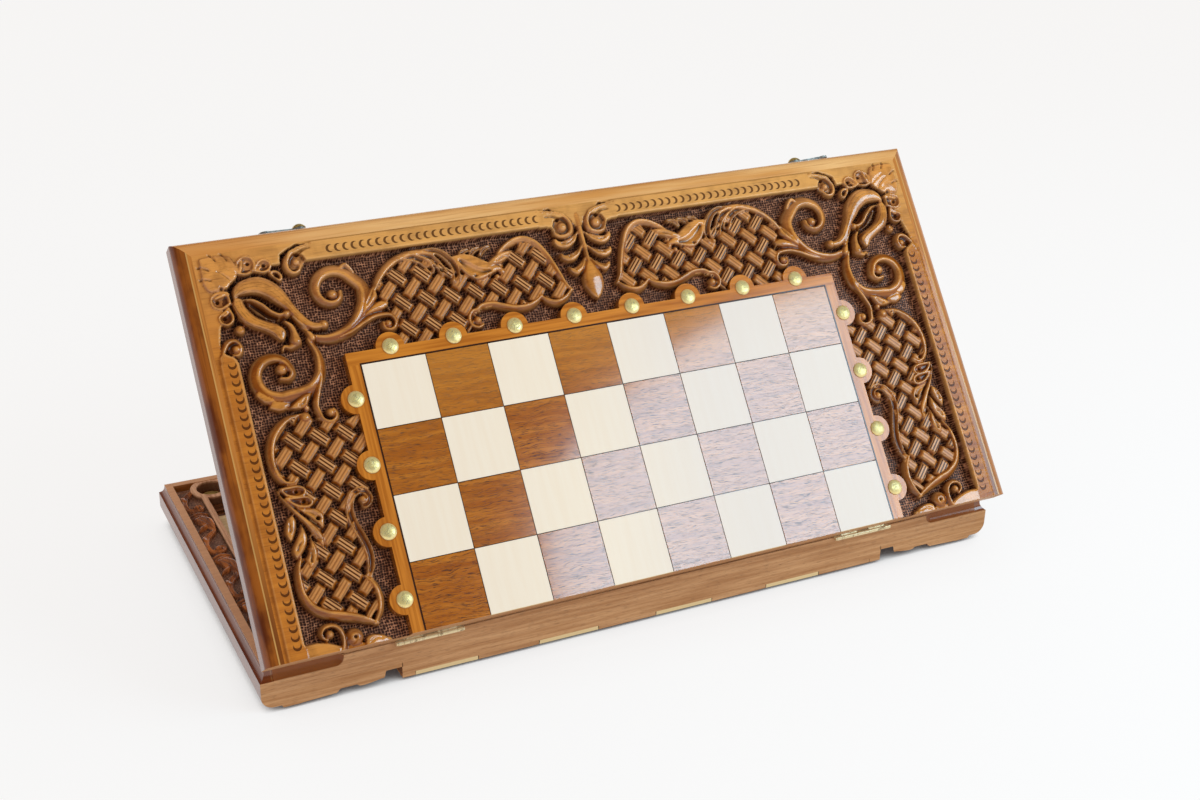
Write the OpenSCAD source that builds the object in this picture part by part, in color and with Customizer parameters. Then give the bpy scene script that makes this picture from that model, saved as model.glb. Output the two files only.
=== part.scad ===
// Folding chess and backgammon board in carved walnut.
// Two equal shallow cases are hinged along one long side. The base lies with its
// chess squares down, and the lid leans back on the hinges with its squares in view.
// Each half is drawn once, in its own frame: x along the hinge from the middle,
// y from the fold face to the latch side, z from the hinge plane to the chess face.

/* [Board] */
// Length of each half along the hinges
board_w = 600; // [560:1:680]
// Depth of each half from the fold face to the latch side
half_depth = 297; // [280:1:340]
// Thickness of each half from the hinge plane to the chess squares
half_t = 30.5; // [29:0.5:38]
// Side of one chess square
square = 47.5; // [44:0.5:50]
// Angle between the two rims as the board stands
lid_angle = 51.5; // [35:0.5:85]

/* [Case] */
// Gap between the two rims when the board is closed
closed_gap = 0.3; // [0.2:0.1:1]
// Height of the sharp lip under the cove, from the hinge plane
lip_d = 8.1; // [7:0.1:9]
// Radius of the cove that runs round the closed board
cove_r = 7.5; // [6:0.1:8.5]
// Depth of the small straight step above the cove
cove_step = 1.5; // [1:0.1:2]
// Width that the cove takes off the rim
cove_in = 4; // [3:0.1:5]
// Distance of the cove's rounded end from each end of the fold face
cove_run = 60; // [40:1:80]
// Distance from the outer face to the inner face of the moulded rails
rail_in = 9.7; // [8.5:0.1:11]
// Width of the moulded rails at the chess face
rail_w = 12; // [11.5:0.5:14]
// Radius of the quarter round along the chess face's edge
round_r = 9; // [7:0.5:10]
// Step from the chess squares down to the flat band of the moulded rails
band_step = 2; // [1:0.5:3]
// Thickness of the plain rail along the fold
fold_w = 12; // [12:0.5:16]
// Depth of the playing side, from the hinge plane to its floor
floor_d = 9; // [8.5:0.5:10]
// Thickness of the core panel under the playing floor
core_t = 9; // [7:0.5:10]

/* [Chess face] */
// Thickness of the inlaid squares
inlay_t = 3; // [2:0.5:4]
// Width of the dark line between two squares
square_gap = 0.6; // [0.4:0.1:1]
// Depth of the carved ground below the squares
carve_depth = 9.3; // [8:0.1:10]
// Width of the flat strip round the squares
strip_w = 9.5; // [8:0.5:11]
// Radius of the round boss under each stud
boss_r = 10.5; // [9:0.5:12]
// Radius of a brass stud
stud_r = 6; // [5:0.5:7]
// Height of a brass stud's flat crown
stud_h = 2.5; // [2:0.1:3]
// Radius of a stud's nail
nail_r = 1; // [0.8:0.1:1.2]
// Length of a stud's nail
nail_l = 7; // [5:0.5:8]

/* [Playing side] */
// Width of the flat bar beside each carved end band
bar_w = 4.5; // [4:0.5:7]
// Width of each carved end band
band_w = 16.6; // [14:0.1:20]
// Depth of the end band's carved ground from the hinge plane
band_ground = 4.5; // [4:0.5:6]
// Distance of the bars, rings and carved forms below the rim
inner_drop = 0.5; // [0.3:0.1:1]
// Radius of the round corner wells
well_r = 11.5; // [10:0.5:13]
// Width of the flat ring round a well
ring_w = 4.8; // [4:0.1:6]
// Distance of each well's middle from the end rail
well_end = 27.4; // [24:0.1:32]
// Distance of each well's middle from the latch side's rail
well_side = 13.3; // [13:0.1:20]
// Radius of the brass disc in a well
disc_r = 8; // [6:0.5:9]
// Thickness of the brass disc
disc_t = 1; // [0.8:0.1:1.5]
// Thickness of the backgammon points
point_t = 1.5; // [1:0.1:2]
// Length of a backgammon point
point_l = 185; // [150:1:210]
// Share of its pitch that a point's foot covers
point_fill = 0.84; // [0.6:0.02:0.92]

/* [Hinges] */
// Distance of the hinge axis outside the fold face
hinge_out = 2.1; // [2:0.1:3]
// Distance of each hinge's middle from the end of the board
hinge_end = 121; // [100:1:150]
// Length of a hinge
hinge_l = 48; // [40:1:60]
// Radius of the hinge barrel
barrel_r = 1.8; // [1.6:0.1:1.9]
// Radius of the hinge pin
pin_r = 0.9; // [0.8:0.05:1]
// Radial clearance between the pin and the lid's knuckles
pin_clear = 0.05; // [0.03:0.01:0.1]
// Thickness of a hinge leaf
leaf_t = 1.2; // [1:0.1:1.5]
// Width of a hinge leaf on the rim
leaf_w = 10.5; // [9:0.5:11]
// Length of the end knuckles
end_knuckle = 4.2; // [3:0.1:6]
// Length of the middle knuckle
mid_knuckle = 10.6; // [8:0.1:14]
// Gap between two knuckles
knuckle_gap = 0.3; // [0.2:0.05:0.4]
// Radius of the hinge screws' shanks
screw_r = 1.1; // [0.9:0.1:1.2]
// Length of the hinge screws
screw_l = 9; // [7:0.5:12]

/* [Hooks] */
// Distance of each hook's pivot from the end of the board
hook_end = 94; // [70:1:120]
// Height of the hook pivots from the lid's rim plane
hook_d = 14; // [12:0.5:16]
// Height of the catch pegs from the base's rim plane
peg_d = 11; // [11:0.5:13]
// Thickness of a hook
hook_t = 1.6; // [1.2:0.1:2]
// Width of a hook's arm
hook_arm = 3.4; // [2.8:0.1:4]
// Radius of a hook's eye
eye_r = 4.4; // [4:0.1:5]
// Radius of the pivot screw's shank
pivot_r = 1.6; // [1.4:0.1:1.8]
// Radius of the pivot screw's domed head
dome_r = 5.2; // [5:0.1:6]
// Height of the pivot screw's domed head
dome_h = 3.2; // [2.5:0.1:4]
// Radius of the catch peg's shank
peg_r = 1.7; // [1.5:0.1:1.9]
// Angle at which the right hook was left standing above the rail
right_tilt = 5; // [0:1:20]
// Running clearance between a hook and what it turns on or catches
hook_clear = 0.1; // [0.05:0.01:0.15]

/* [Hidden] */
$fn = 48;

// Overlap of a cutter past the face that it cuts
cut = 1;
// Clearance of a part let into its seat
seat_clear = 0.1;

// Levels, from the hinge plane
rim_d = closed_gap / 2;
core_d = floor_d + core_t;
band_d = half_t - band_step;
ground_d = half_t - carve_depth;
inlay_d = half_t - inlay_t;
inner_d = rim_d + inner_drop;

// Plan sizes of a half
half_w = board_w / 2;
columns = 8;
rows = 4;
field_w = columns * square / 2;
field_s = rows * square;
strip_x = field_w + strip_w;
strip_s = field_s + strip_w;
inner_x = half_w - rail_in;
inner_s = half_depth - rail_in;
carved_x = half_w - rail_w;
carved_s = half_depth - rail_w;
bar_x = inner_x - band_w;
ring_r = well_r + ring_w;
ring_x = inner_x - well_end;
ring_s = inner_s - well_side;

hinge_x = half_w - hinge_end;
hook_x = half_w - hook_end;

// Hooks: a washer on the face, the hook on it, and the domed head over both
hook_reach = hook_d + peg_d;
washer_t = 0.8;
hook_s = half_depth + washer_t + hook_clear;
jaw_r = peg_r + 5 * hook_clear;
jaw_gap = 2 * (jaw_r - hook_clear);
jaw_wall = 2.2;
peg_l = washer_t + hook_t + 4 * hook_clear;
peg_head_r = 2.8;
peg_head_t = 1;
peg_root = 7;

// The whole board stands on the base's studs, centred on its own footprint
hinge_z = half_t + stud_h;
reach_back = hinge_out + half_depth + peg_l + peg_head_t;
reach_front = half_t * sin(lid_angle) - hinge_out * cos(lid_angle);
hinge_y = (reach_front - reach_back) / 2;

// Carving is set out on a border drawn at these sizes and follows the real border
lay_w = 300;
lay_s = 297;
lay_field = 190;
function lay_x(x) = abs(x) > lay_field
    ? sign(x) * (field_w + (abs(x) - lay_field) * (half_w - field_w) / (lay_w - lay_field))
    : x * field_w / lay_field;
function lay_y(s) = s > lay_field
    ? field_s + (s - lay_field) * (half_depth - field_s) / (lay_s - lay_field)
    : s * field_s / lay_field;
function lay(p) = [lay_x(p[0]), lay_y(p[1])];

// A smooth line through hand-set points, and a band of steady or tapering width along it
function spline(a, b, c, d, t) = 0.5 * (2 * b + (c - a) * t
    + (2 * a - 5 * b + 4 * c - d) * t * t + (3 * b - 3 * c + d - a) * t * t * t);
function smooth(p, n = 3) = [for (i = [0 : len(p) - 2]) for (k = [0 : n - 1])
    spline(p[max(i - 1, 0)], p[i], p[i + 1], p[min(i + 2, len(p) - 1)], k / n),
    p[len(p) - 1]];
function unit(v) = v / norm(v);
function side_of(p, i) = let (
    a = p[max(i - 1, 0)],
    b = p[min(i + 1, len(p) - 1)],
    d = unit(b - a)) [-d[1], d[0]];
function ribbon(p, w0, w1) = let (n = len(p) - 1) concat(
    [for (i = [0 : n]) p[i] + side_of(p, i) * (w0 + (w1 - w0) * i / n) / 2],
    [for (i = [n : -1 : 0]) p[i] - side_of(p, i) * (w0 + (w1 - w0) * i / n) / 2]);

module stroke(points, w0, w1) {
    polygon(ribbon(smooth([for (p = points) lay(p)]), w0, w1));
}

module outline(points) {
    line = smooth([for (p = concat(points, [points[0]])) lay(p)]);
    polygon([for (i = [0 : len(line) - 2]) line[i]]);
}

module dot(p, r) {
    translate(lay(p)) circle(r);
}

// The lid's frame stands at lid_angle on the hinge axis, and the base's is its mirror
module on_lid() {
    translate([0, hinge_y, hinge_z]) rotate([lid_angle, 0, 0]) translate([0, hinge_out, 0]) children();
}

module on_base() {
    translate([0, hinge_y, hinge_z]) mirror([0, 0, 1]) translate([0, hinge_out, 0]) children();
}

module both_sides() {
    children();
    mirror([1, 0, 0]) children();
}

// Section of a moulded rail: inward from the outer face, and up from the hinge plane
module rail_section() {
    difference() {
        union() {
            translate([0, rim_d]) square([rail_in, core_d - rim_d]);
            translate([0, core_d - cut]) square([rail_w, band_d - core_d + cut]);
        }
        translate([cove_in - cove_r, cove_step]) circle(cove_r);
        translate([-cut, rim_d - cut]) square([cove_in + cut, cove_step - rim_d + cut]);
        difference() {
            translate([-cut, band_d - round_r]) square([round_r + cut, round_r + cut]);
            translate([round_r, band_d - round_r]) circle(round_r);
        }
        translate([rail_in, core_d - 2 * cut]) square([rail_w, 2 * cut]);
    }
}

module moulding(length) {
    translate([0, length, 0]) rotate([90, 0, 0]) linear_extrude(length) rail_section();
}

// The cove turns the corner on to the fold face and stops with a round end
module fold_coves() {
    run = cove_run - cove_r;
    both_sides() translate([half_w + cut, cove_in - cove_r, cove_step]) {
        rotate([0, -90, 0]) cylinder(r = cove_r, h = run + cut);
        translate([-run - cut, 0, 0]) sphere(cove_r);
        translate([-run - cut, 0, -cove_step]) cylinder(r = cove_r, h = cove_step);
        translate([-run - cut, 0, -cove_step]) cube([run + 2 * cut, cove_r, cove_step]);
    }
}

module left_rail() {
    color([0.68, 0.42, 0.18]) difference() {
        intersection() {
            translate([-half_w, 0, 0]) moulding(half_depth);
            linear_extrude(half_t) polygon([[-half_w, 0], [-half_w, half_depth],
                [-carved_x, carved_s], [-carved_x, 0]]);
        }
        fold_coves();
    }
}

module right_rail() {
    mirror([1, 0, 0]) left_rail();
}

module back_rail(fixing_r, fixing_d) {
    color([0.68, 0.42, 0.18]) difference() {
        intersection() {
            translate([-half_w, half_depth, 0]) rotate([0, 0, -90]) moulding(board_w);
            linear_extrude(half_t) polygon([[-half_w, half_depth], [half_w, half_depth],
                [carved_x, carved_s], [-carved_x, carved_s]]);
        }
        for (side = [-1, 1]) translate([side * hook_x, half_depth + cut, fixing_d])
            rotate([90, 0, 0]) cylinder(r = fixing_r, h = peg_root + cut);
    }
}

module fold_rail() {
    color([0.72, 0.52, 0.33]) difference() {
        translate([-inner_x, 0, rim_d]) cube([2 * inner_x, fold_w, core_d - rim_d]);
        fold_coves();
        for (side = [-1, 1]) {
            translate([side * hinge_x - hinge_l / 2 - seat_clear, -cut, 0])
                cube([hinge_l + 2 * seat_clear, leaf_w + seat_clear + cut, rim_d + leaf_t]);
            for (k = [-1 : 1]) translate([screw_x(side, k), screw_y(), 0])
                cylinder(r = screw_r, h = rim_d + screw_l);
        }
    }
}

// Core panel with the raised bed that the chess squares are laid on
module panel() {
    color([0.45, 0.28, 0.15]) union() {
        translate([-inner_x, fold_w, floor_d]) cube([2 * inner_x, inner_s - fold_w, core_t]);
        translate([-field_w, 0, core_d]) cube([2 * field_w, field_s, inlay_d - core_d]);
    }
}

function stud_places() = concat(
    [for (i = [0 : columns - 1]) [(i - (columns - 1) / 2) * square, strip_s]],
    [for (side = [-1, 1]) for (j = [0 : rows - 1]) [side * strip_x, (j + 0.5) * square]]);

// Strip round the squares with a round boss for each stud
module square_frame() {
    color([0.66, 0.40, 0.17]) difference() {
        translate([0, 0, core_d]) linear_extrude(half_t - core_d) square_frame_plan();
        for (p = stud_places()) translate([p[0], p[1], half_t - nail_l])
            cylinder(r = nail_r, h = nail_l + cut);
    }
}

module square_frame_plan() {
    difference() {
        union() {
            translate([-strip_x, 0]) square([2 * strip_x, strip_s]);
            for (p = stud_places()) translate(p) circle(boss_r);
        }
        translate([-field_w, -cut]) square([2 * field_w, field_s + cut]);
    }
}

// Every other square, starting light or dark at the fold's left end
module squares(first) {
    for (i = [0 : columns - 1]) for (j = [0 : rows - 1]) if ((i + j) % 2 == first)
        square_at(i * square - field_w + square_gap / 2, j * square, j == 0 ? 0 : square_gap / 2);
}

module square_at(x, y, front_gap) {
    translate([x, y + front_gap, inlay_d])
        cube([square - square_gap, square - square_gap / 2 - front_gap, inlay_t]);
}

module dark_squares(first) {
    color([0.50, 0.28, 0.12]) squares(first);
}

module light_squares(first) {
    color([0.93, 0.86, 0.72]) squares(first);
}

// A brass dome with a small worn flat on its crown, and its nail
module studs() {
    cap_h = stud_h + 0.1;
    ball_r = (stud_r * stud_r + cap_h * cap_h) / (2 * cap_h);
    color([0.83, 0.70, 0.36]) for (p = stud_places()) translate([p[0], p[1], half_t]) {
        intersection() {
            translate([0, 0, cap_h - ball_r]) sphere(ball_r);
            cylinder(r = stud_r + cut, h = stud_h);
        }
        translate([0, 0, -nail_l]) cylinder(r = nail_r, h = nail_l + cut);
    }
}

// Carved border, set out for the left side of a half and mirrored for the right
module side_rails() {
    polygon([[-carved_x, 0], lay([-272, 0]), lay([-272, 9]), lay([-259, 6]), lay([-252, 3]),
        lay([-247, 0]), [-carved_x, 0]]);
    polygon([[-carved_x, 0], [-carved_x, lay_y(205)], lay([-280, 222]), lay([-272, 210]), lay([-272, 0])]);
    polygon([lay([-195, 284]), [lay_x(-195), carved_s], [lay_x(-20), carved_s], lay([-8, 278]),
        lay([-20, 270.5]), lay([-214, 270.5]), lay([-222, 280])]);
    dot([-276, 215], 9);
    dot([-217.5, 270.5], 10);
    dot([-14, 268.5], 9);
    dot([-254, 11], 8.5);
}

module bud_plan() {
    outline([[-268, 248], [-266, 259], [-256, 265], [-243, 264], [-234, 257], [-229, 247], [-224, 236],
        [-215, 227], [-206, 227], [-206, 220], [-217, 219], [-224, 222], [-226, 212], [-234, 210],
        [-245, 221], [-259, 230], [-266, 239]]);
}

module leaf_plan() {
    outline([[-284, 282], [-272, 282.5], [-262, 281], [-259, 273], [-262, 265], [-268, 260],
        [-276, 257], [-283, 261], [-284.5, 271]]);
    for (c = [[-252, 275, 5], [-241, 270, 5], [-232, 262, 3], [-277, 250, 5], [-274, 238, 4.5],
        [-266, 229, 3]]) dot([c[0], c[1]], c[2]);
}

module scrolls_plan() {
    stroke([[-217, 215], [-207, 214], [-196, 216], [-187, 221], [-180, 229], [-176, 238], [-174, 247],
        [-177, 254], [-184, 259], [-191, 260.5], [-198, 259], [-204, 256], [-208, 250], [-209, 243],
        [-206, 238], [-201, 236]], 5, 6);
    stroke([[-190, 218], [-177, 224], [-169, 225.6], [-162, 224.4], [-157, 221], [-155, 216],
        [-158, 211.6], [-163, 210.6]], 4.5, 4);
    stroke([[-221, 211], [-217.6, 204], [-217, 196], [-219, 188], [-224, 181], [-231, 177], [-239, 176],
        [-247, 177.6], [-255, 182], [-260.6, 188], [-263, 196], [-261, 203], [-256, 207], [-249, 208],
        [-242, 206], [-239, 201]], 5, 6);
    stroke([[-218, 192], [-220, 182], [-225, 172], [-227, 164], [-225, 157], [-219, 153], [-213.5, 155.5],
        [-212, 160]], 5, 4);
    dot([-198, 242], 3.2);
    dot([-162, 216.5], 3.4);
    dot([-245, 196], 3.6);
    dot([-217.4, 160], 3.6);
    dot([-234, 161], 4);
    outline([[-267, 183], [-258, 181], [-252, 175], [-243, 173], [-236, 168], [-245, 166], [-254, 169],
        [-262, 174]]);
    outline([[-178, 228], [-173, 236], [-168, 243], [-166, 237], [-160, 235], [-160, 230], [-170, 228]]);
}

module weave_edges() {
    stroke([[-167, 243], [-162, 250], [-155, 257], [-147, 262], [-137, 265], [-127, 264.5], [-119, 261],
        [-112, 254], [-108, 244]], 5, 6);
    stroke([[-112, 262], [-102, 256], [-94, 249], [-84, 244], [-75, 245], [-70, 253], [-62, 261],
        [-53, 265], [-44, 264], [-36, 259], [-32, 252], [-29, 244], [-26, 234], [-22, 226],
        [-19, 221]], 7, 5);
    stroke([[-20, 221], [-24, 215], [-32, 212.4], [-39, 214], [-44, 217.5], [-49, 216], [-56, 213],
        [-64, 212], [-72, 214], [-80, 218], [-88, 219.6], [-95, 217], [-100, 211], [-100, 206]], 5, 4);
    stroke([[-241, 164], [-249, 162], [-257, 157], [-262.6, 150], [-266, 142], [-267, 134], [-266, 127],
        [-263, 119], [-261, 108], [-257, 98], [-253, 90], [-251, 83], [-253, 75], [-260, 69], [-264.5, 60],
        [-266.4, 48], [-265, 40], [-261, 33], [-254, 28], [-245, 24], [-235, 21], [-227, 18],
        [-222, 14.5]], 6, 5);
    stroke([[-221.5, 15], [-217, 20], [-215, 28], [-215, 36], [-218, 42], [-216, 50], [-215, 60],
        [-217, 70], [-220, 80], [-221.4, 90], [-219, 98], [-213, 102], [-207, 101]], 5, 4.5);
    dot([-97, 206.5], 4);
    dot([-209, 96], 4.4);
    outline([[-256, 118], [-250, 120], [-250, 112], [-246, 106], [-247, 98], [-241, 88], [-246, 84],
        [-252, 90], [-258, 100], [-262, 112]]);
}

// Flat band of the moulded rails, carried on for a short way under the carving
module band_plan() {
    band = 4;
    polygon([[-carved_x, 0], [-carved_x, carved_s], [1, carved_s], [1, carved_s - band],
        [-carved_x + band, carved_s - band], [-carved_x + band, 0]]);
}

module palmette_plan() {
    for (c = [[-20, 256, 4.5], [-19, 245, 5], [-15, 234.5, 4.5]]) {
        dot([c[0], c[1]], c[2]);
        stroke([[c[0], c[1]], [-8, c[1] + 1], [2, c[1] + 6]], 9, 7);
    }
    outline([[2, 262], [-6, 258], [-6, 240], [-10, 226], [-7, 216], [0, 209.5], [2, 216]]);
}

module end_leaves() {
    dot([-239, 7.5], 6.5);
    outline([[-233, 0], [-229, 4], [-224, 6.5], [-218, 4.5], [-213, 0], [-223, -2]]);
}

// The basketweave's field, and its two crossing sets of straps
module weave_plan() {
    outline([[-167, 241], [-158, 251], [-147, 259], [-137, 262], [-124, 261], [-110, 250], [-94, 246],
        [-80, 243], [-66, 254], [-54, 262], [-44, 261], [-35, 253], [-27, 234], [-20, 222], [-30, 214],
        [-44, 217], [-60, 214], [-82, 219], [-98, 216], [-104, 203], [-110, 199.5], [-160, 199.5],
        [-157, 215], [-166, 230]]);
    outline([[-241, 162], [-256, 155], [-264, 143], [-265, 128], [-258, 112], [-252, 96], [-252, 78],
        [-262, 66], [-264, 48], [-258, 34], [-244, 27], [-224, 18], [-217, 26], [-217, 40], [-217, 60],
        [-222, 80], [-222, 92], [-212, 103], [-199.5, 106], [-199.5, 154], [-212, 154], [-226, 160]]);
}

module straps(angle) {
    pitch = 12.6;
    strap = 9;
    for (k = [-30 : 30]) translate([k * pitch / cos(45), 0]) rotate(angle)
        translate([-half_depth * 2, -strap / 2]) square([half_depth * 4, strap]);
}

module carved_level(height, plan) {
    translate([0, 0, core_d + cut]) linear_extrude(height - core_d - cut) intersection() {
        children(0);
        both_sides() children(1);
    }
}

// One carved board: its ground, then each kind of carving at its own height
module carved_board() {
    color([0.55, 0.32, 0.13]) union() {
        translate([0, 0, core_d]) linear_extrude(ground_d - core_d) children();
        carved_level(band_d) { children(); band_plan(); }
        carved_level(half_t) { children(); side_rails(); }
        carved_level(half_t - 1.5) { children(); bud_plan(); }
        carved_level(half_t - 2) { children(); union() { scrolls_plan(); weave_edges(); } }
        carved_level(half_t - 2.5) { children(); union() { leaf_plan(); palmette_plan(); end_leaves(); } }
        carved_level(half_t - 4) { children(); intersection() { weave_plan(); straps(45); } }
        carved_level(half_t - 5.5) { children(); intersection() { weave_plan(); straps(-45); } }
    }
}

module board_plan(corners) {
    difference() {
        polygon(corners);
        for (p = stud_places()) translate(p) circle(boss_r);
    }
}

module carved_back() {
    carved_board() board_plan([[-carved_x, carved_s], [carved_x, carved_s],
        [strip_x, strip_s], [-strip_x, strip_s]]);
}

module carved_left() {
    carved_board() board_plan([[-carved_x, 0], [-carved_x, carved_s], [-strip_x, strip_s], [-strip_x, 0]]);
}

module carved_right() {
    carved_board() board_plan([[carved_x, 0], [carved_x, carved_s], [strip_x, strip_s], [strip_x, 0]]);
}

// Playing side: a carved band, a flat bar and a round corner well at each end
module end_carvings() {
    forms = 8;
    step = (inner_s - fold_w - 2 * ring_r) / forms;
    color([0.55, 0.30, 0.14]) both_sides() difference() {
        union() {
            translate([-inner_x, fold_w, band_ground])
                cube([band_w, inner_s - fold_w, floor_d - band_ground]);
            for (k = [0 : forms - 1])
                translate([-inner_x + band_w / 2, fold_w + (k + 0.5) * step, inner_d + 1])
                    cylinder(r = band_w / 2 - 2, h = band_ground - inner_d);
        }
        translate([-ring_x, ring_s, 0]) cylinder(r = ring_r, h = half_t);
    }
}

module bars() {
    color([0.74, 0.52, 0.34]) both_sides() translate([0, 0, inner_d]) linear_extrude(floor_d - inner_d)
        difference() {
            union() {
                translate([-bar_x, fold_w]) square([bar_w, ring_s - fold_w]);
                intersection() {
                    translate([-ring_x, ring_s]) circle(ring_r);
                    translate([-inner_x, fold_w]) square([inner_x, inner_s - fold_w]);
                }
            }
            translate([-ring_x, ring_s]) circle(well_r);
        }
}

module well_discs() {
    color([0.80, 0.66, 0.34]) both_sides() translate([-ring_x, ring_s, floor_d - disc_t])
        cylinder(r = disc_r, h = disc_t);
}

// Six points at each end, every other one light
module points(first) {
    point_pitch = (inner_s - fold_w) / 6;
    foot_w = point_pitch * point_fill;
    foot = bar_x - bar_w;
    for (side = [0, 1]) mirror([side, 0, 0]) for (k = [0 : 5]) if ((k + side) % 2 == first)
        translate([-foot, fold_w + (k + 0.5) * point_pitch, floor_d - point_t]) linear_extrude(point_t)
            difference() {
                polygon([[0, -foot_w / 2], [point_l, 0], [0, foot_w / 2]]);
                translate([foot - ring_x, ring_s - fold_w - (k + 0.5) * point_pitch]) circle(ring_r);
            }
}

module light_points() {
    color([0.88, 0.74, 0.52]) points(0);
}

module dark_points() {
    color([0.36, 0.19, 0.09]) points(1);
}

// Butt hinges: the base carries the odd knuckles and the pin, the lid the even ones
function screw_x(side, k) = side * hinge_x + k * (hinge_l / 2 - 8);
function screw_y() = leaf_w * 0.6;
arm_knuckle = (hinge_l - mid_knuckle) / 2 - end_knuckle;
knuckle_at = [0, end_knuckle, end_knuckle + arm_knuckle, hinge_l - end_knuckle - arm_knuckle,
    hinge_l - end_knuckle, hinge_l];

module knuckle(from, to) {
    translate([from - hinge_l / 2 + knuckle_gap / 2, -hinge_out, 0]) {
        translate([0, 0, rim_d]) cube([to - from - knuckle_gap, hinge_out + 1, leaf_t]);
        rotate([0, 90, 0]) cylinder(r = barrel_r, h = to - from - knuckle_gap);
    }
}

module hinge_leaf(first) {
    bore_r = first == 0 ? pin_r : pin_r + pin_clear;
    difference() {
        union() {
            translate([-hinge_l / 2, 0.3, rim_d]) cube([hinge_l, leaf_w - 0.3, leaf_t]);
            for (k = [first : 2 : 4]) knuckle(knuckle_at[k], knuckle_at[k + 1]);
        }
        translate([-hinge_l / 2 - cut, -hinge_out, 0]) rotate([0, 90, 0])
            cylinder(r = bore_r, h = hinge_l + 2 * cut);
        for (k = [-1 : 1]) translate([screw_x(0, k), screw_y(), rim_d]) {
            translate([0, 0, -cut]) cylinder(r = screw_r, h = leaf_t + 2 * cut);
            cylinder(r1 = screw_r + leaf_t, r2 = screw_r, h = leaf_t);
        }
    }
}

module hinge_leaves(first) {
    color([0.80, 0.68, 0.40]) for (side = [-1, 1]) translate([side * hinge_x, 0, 0]) hinge_leaf(first);
}

module hinge_pins() {
    head_t = 1.2;
    color([0.74, 0.62, 0.36]) for (side = [-1, 1])
        translate([side * hinge_x - hinge_l / 2, -hinge_out, 0]) rotate([0, 90, 0]) {
            cylinder(r = pin_r, h = hinge_l);
            for (end = [-head_t, hinge_l]) translate([0, 0, end]) cylinder(r = barrel_r - 0.2, h = head_t);
        }
}

// Countersunk screws through the leaves into the rim
module hinge_screws() {
    color([0.76, 0.64, 0.38]) for (side = [-1, 1]) for (k = [-1 : 1])
        translate([screw_x(side, k), screw_y(), rim_d]) difference() {
            union() {
                cylinder(r1 = screw_r + leaf_t, r2 = screw_r, h = leaf_t);
                cylinder(r = screw_r, h = screw_l);
            }
            translate([-screw_r - leaf_t, -0.25, -cut]) cube([2 * screw_r + 2 * leaf_t, 0.5, cut + 0.4]);
        }
}

// A hook lies along the latch side and points outward; its jaw opens towards the rim
module hook_shape() {
    ring_out = jaw_r + jaw_wall;
    tip_r = 2;
    difference() {
        union() {
            cylinder(r = eye_r, h = hook_t);
            linear_extrude(hook_t) polygon([[0, -hook_arm / 2], [0, hook_arm / 2],
                [hook_reach, ring_out - 0.9], [hook_reach, ring_out - 0.9 - hook_arm * 0.7]]);
            translate([hook_reach, 0, 0]) cylinder(r = ring_out, h = hook_t);
            translate([hook_reach + ring_out * 0.75, -ring_out * 0.8, 0]) cylinder(r = tip_r, h = hook_t);
        }
        translate([0, 0, -cut]) {
            cylinder(r = pivot_r + hook_clear, h = hook_t + 2 * cut);
            translate([hook_reach, 0, 0]) cylinder(r = jaw_r, h = hook_t + 2 * cut);
            translate([hook_reach - jaw_gap / 2, -ring_out - cut, 0])
                cube([jaw_gap, ring_out + cut, hook_t + 2 * cut]);
        }
    }
}

module hook(tilt) {
    color([0.45, 0.44, 0.42]) translate([hook_x, hook_s + hook_t, hook_d]) rotate([90, 0, 0])
        rotate(tilt) hook_shape();
}

module right_hook() {
    hook(right_tilt);
}

module left_hook() {
    mirror([1, 0, 0]) hook(0);
}

module hook_washers() {
    color([0.78, 0.65, 0.35]) for (side = [-1, 1])
        translate([side * hook_x, half_depth + washer_t, hook_d]) rotate([90, 0, 0]) difference() {
            cylinder(r = eye_r, h = washer_t);
            translate([0, 0, -cut]) cylinder(r = pivot_r, h = washer_t + 2 * cut);
        }
}

module hook_screws() {
    dome_ball = (dome_r * dome_r + dome_h * dome_h) / (2 * dome_h);
    seat = washer_t + hook_t + 2 * hook_clear;
    color([0.82, 0.68, 0.35]) for (side = [-1, 1])
        translate([side * hook_x, half_depth, hook_d]) rotate([-90, 0, 0]) {
            translate([0, 0, -peg_root]) cylinder(r = pivot_r, h = peg_root + seat + cut);
            intersection() {
                translate([0, 0, seat + dome_h - dome_ball]) sphere(dome_ball);
                translate([0, 0, seat]) cylinder(r = dome_r + cut, h = dome_h);
            }
        }
}

module catch_pegs() {
    color([0.78, 0.65, 0.35]) for (side = [-1, 1])
        translate([side * hook_x, half_depth, peg_d]) rotate([-90, 0, 0]) {
            translate([0, 0, -peg_root]) cylinder(r = peg_r, h = peg_root + peg_l + peg_head_t);
            translate([0, 0, peg_l]) cylinder(r = peg_head_r, h = peg_head_t);
        }
}

on_base() fold_rail();  // base_fold_rail
on_base() back_rail(peg_r, peg_d);  // base_back_rail
on_base() left_rail();  // base_left_rail
on_base() right_rail();  // base_right_rail
on_base() panel();  // base_panel
on_base() carved_back();  // base_carved_back
on_base() carved_left();  // base_carved_left
on_base() carved_right();  // base_carved_right
on_base() square_frame();  // base_square_frame
on_base() dark_squares(1);  // base_dark_squares
on_base() light_squares(0);  // base_light_squares
on_base() studs();  // base_studs
on_base() end_carvings();  // base_end_carvings
on_base() bars();  // base_bars
on_base() well_discs();  // base_well_discs
on_base() light_points();  // base_light_points
on_base() dark_points();  // base_dark_points
on_lid() fold_rail();  // lid_fold_rail
on_lid() back_rail(pivot_r, hook_d);  // lid_back_rail
on_lid() left_rail();  // lid_left_rail
on_lid() right_rail();  // lid_right_rail
on_lid() panel();  // lid_panel
on_lid() carved_back();  // lid_carved_back
on_lid() carved_left();  // lid_carved_left
on_lid() carved_right();  // lid_carved_right
on_lid() square_frame();  // lid_square_frame
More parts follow.
